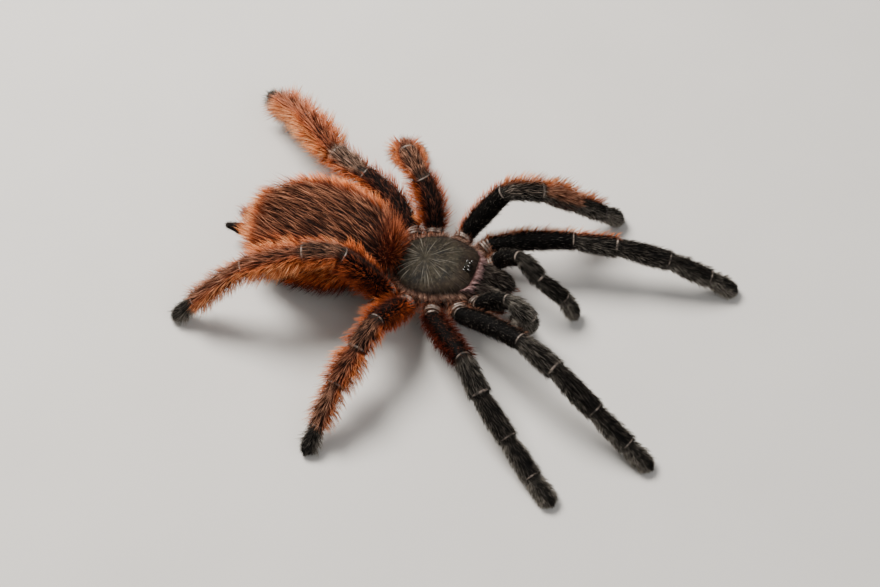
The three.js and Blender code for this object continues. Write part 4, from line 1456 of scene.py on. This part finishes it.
def build_fang(side, sign, horn):
    curled, share = horn_points(FANG, 31, 21)
    seat = jaw_seat(sign, JAW["height"] - JAW["depth"] * FANG["sunk"])
    seat = seat + jaw_direction() * JAW["length"] * FANG["seat"]
    aim = unit(np.array([-sign * FANG_AIM["inward"], FANG_AIM["back"], -FANG_AIM["down"]]))
    points = placed(curled, aim, seat)
    fang = add_shell(f"fang_{side}_horn", points, {"tip": share}, horn)
    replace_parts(fang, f"fang_{side}")


def build_claws(lines, horn):
    """Two small claws at the tip of each leg and one on each palp, almost hidden in its hair."""
    curled, _ = horn_points(CLAW, 15, 11)
    curled = curled * np.array([1.0, 1.0, -1.0])
    claws = []
    for line in lines.values():
        aim = unit((line.points[-1] - line.points[-CLAW_SAMPLES]) * np.array([1.0, 1.0, 0.0]))
        apart = unit(np.cross(aim, UP)) * CLAW["apart"]
        seat = line.points[-1] - aim * CLAW["sunk"] + UP * CLAW["up"]
        for side in (0.0,) if line.kind == "palp" else (-1.0, 1.0):
            claws.append(placed(curled, aim, seat + apart * side))
    add_set("claws", claws, horn)


# Bare rims over the joints: the arc they cover from the top, how thick they are, and where
# they lie from the joint. The hip has three, one behind the other, and the one at the far
# end of the patella is broader.
RIM = {"arc": 70.0, "half_thickness": 0.12, "spread": 1.5, "above": -0.03, "broader": 1.5,
       "hip": 1.4, "hip_above": 0.16}
HIP_RIMS = (-1.25, -0.6, 0.15)
RIM_STEPS, RIM_SIDES = 25, 7


def rim_points(line, index, shift, size, above):
    """A tapering cord over the top of a limb, at a place given by its distance from a joint."""
    spot = np.searchsorted(line.run, line.run[index] + shift)
    course, side, top = (axis[spot] for axis in limb_axes(line))
    width, depth = (size_at[spot] + above for size_at in limb_sections(line))
    turn = np.radians(np.linspace(90 - RIM["arc"], 90 + RIM["arc"], RIM_STEPS))[:, None]
    out = (np.cos(turn) * side + np.sin(turn) * top)[:, None, :]
    core = line.points[spot] + np.cos(turn) * side * width + np.sin(turn) * top * depth
    thick = (size * blunt_ends(RIM_STEPS))[:, None, None]
    ring = np.linspace(0.0, 2 * math.pi, RIM_SIDES)[None, :, None]
    return core[:, None, :] + thick * (np.cos(ring) * out + np.sin(ring) * course * RIM["spread"])


def build_rims(lines, material):
    rims = []
    for line in lines.values():
        hip, *joints = [np.flatnonzero(line.part == i)[-1] for i in range(len(line.parts) - 1)]
        for shift in HIP_RIMS:
            size = RIM["half_thickness"] * RIM["hip"]
            rims.append(rim_points(line, hip, shift, size, RIM["hip_above"]))
        for number, joint in enumerate(joints):
            size = RIM["half_thickness"] * (RIM["broader"] if number == 1 else 1.0)
            rims.append(rim_points(line, joint, -CUFF["back"], size, RIM["above"]))
    add_set("joint_rims", rims, material)


# ------------------------------------------------------------------------------- assembly


def build_spider():
    black = coat_finish("black_coat", 0.65, 0.05)
    orange = coat_finish("orange_coat", 0.6, 0.12)
    brown = coat_finish("brown_coat", 0.6, 0.08, rgb(0.66, 0.29, 0.16))
    brow = coat_finish("brow_coat", 0.55, 0.15, rgb(0.68, 0.42, 0.40))
    fringe = coat_finish("shield_coat", 0.6, 0.08, rgb(0.58, 0.36, 0.26))
    shell = shield_finish()
    horn = horn_finish("horn", rgb(0.008, 0.006, 0.005), rgb(0.09, 0.012, 0.006), 0.18)
    lines = {limb: LimbLine(limb) for limb in LIMBS}
    limbs = {limb: limb_guide(line) for limb, line in lines.items()}
    abdomen, breast, waist = abdomen_guide(), breast_guide(), waist_guide()
    jaws = [jaw_guide(1), jaw_guide(-1)]
    spinnerets = [spinneret_guide(1), spinneret_guide(-1)]
    build_skin([*limbs.values(), abdomen, breast, waist, *jaws, *spinnerets], skin_finish())
    build_shield(shell)
    build_eyes(shell, eye_finish())
    build_rims(lines, rim_finish())
    build_fang("left", 1, horn)
    build_fang("right", -1, horn)
    build_claws(lines, horn)
    for limb, guide in limbs.items():
        finish, slot = (orange, "orange_coat")
        if limb in FRONT_LIMBS:
            finish, slot = (black, "black_coat")
        grow_coat(f"coat_{limb}", [guide], finish)
    grow_coat("coat_abdomen_down", [abdomen], brown, ("down",))
    grow_coat("coat_abdomen_long", [abdomen], brown, ("guard",))
    grow_coat("coat_underbody", [breast, waist, *spinnerets], brown)
    grow_coat("coat_jaws", jaws, black)
    grow_coat("coat_brow", [brow_guide()], brow)
    grow_coat("coat_shield", [shield_guide()], fringe)


add_camera()
add_studio()
add_ground()
build_spider()
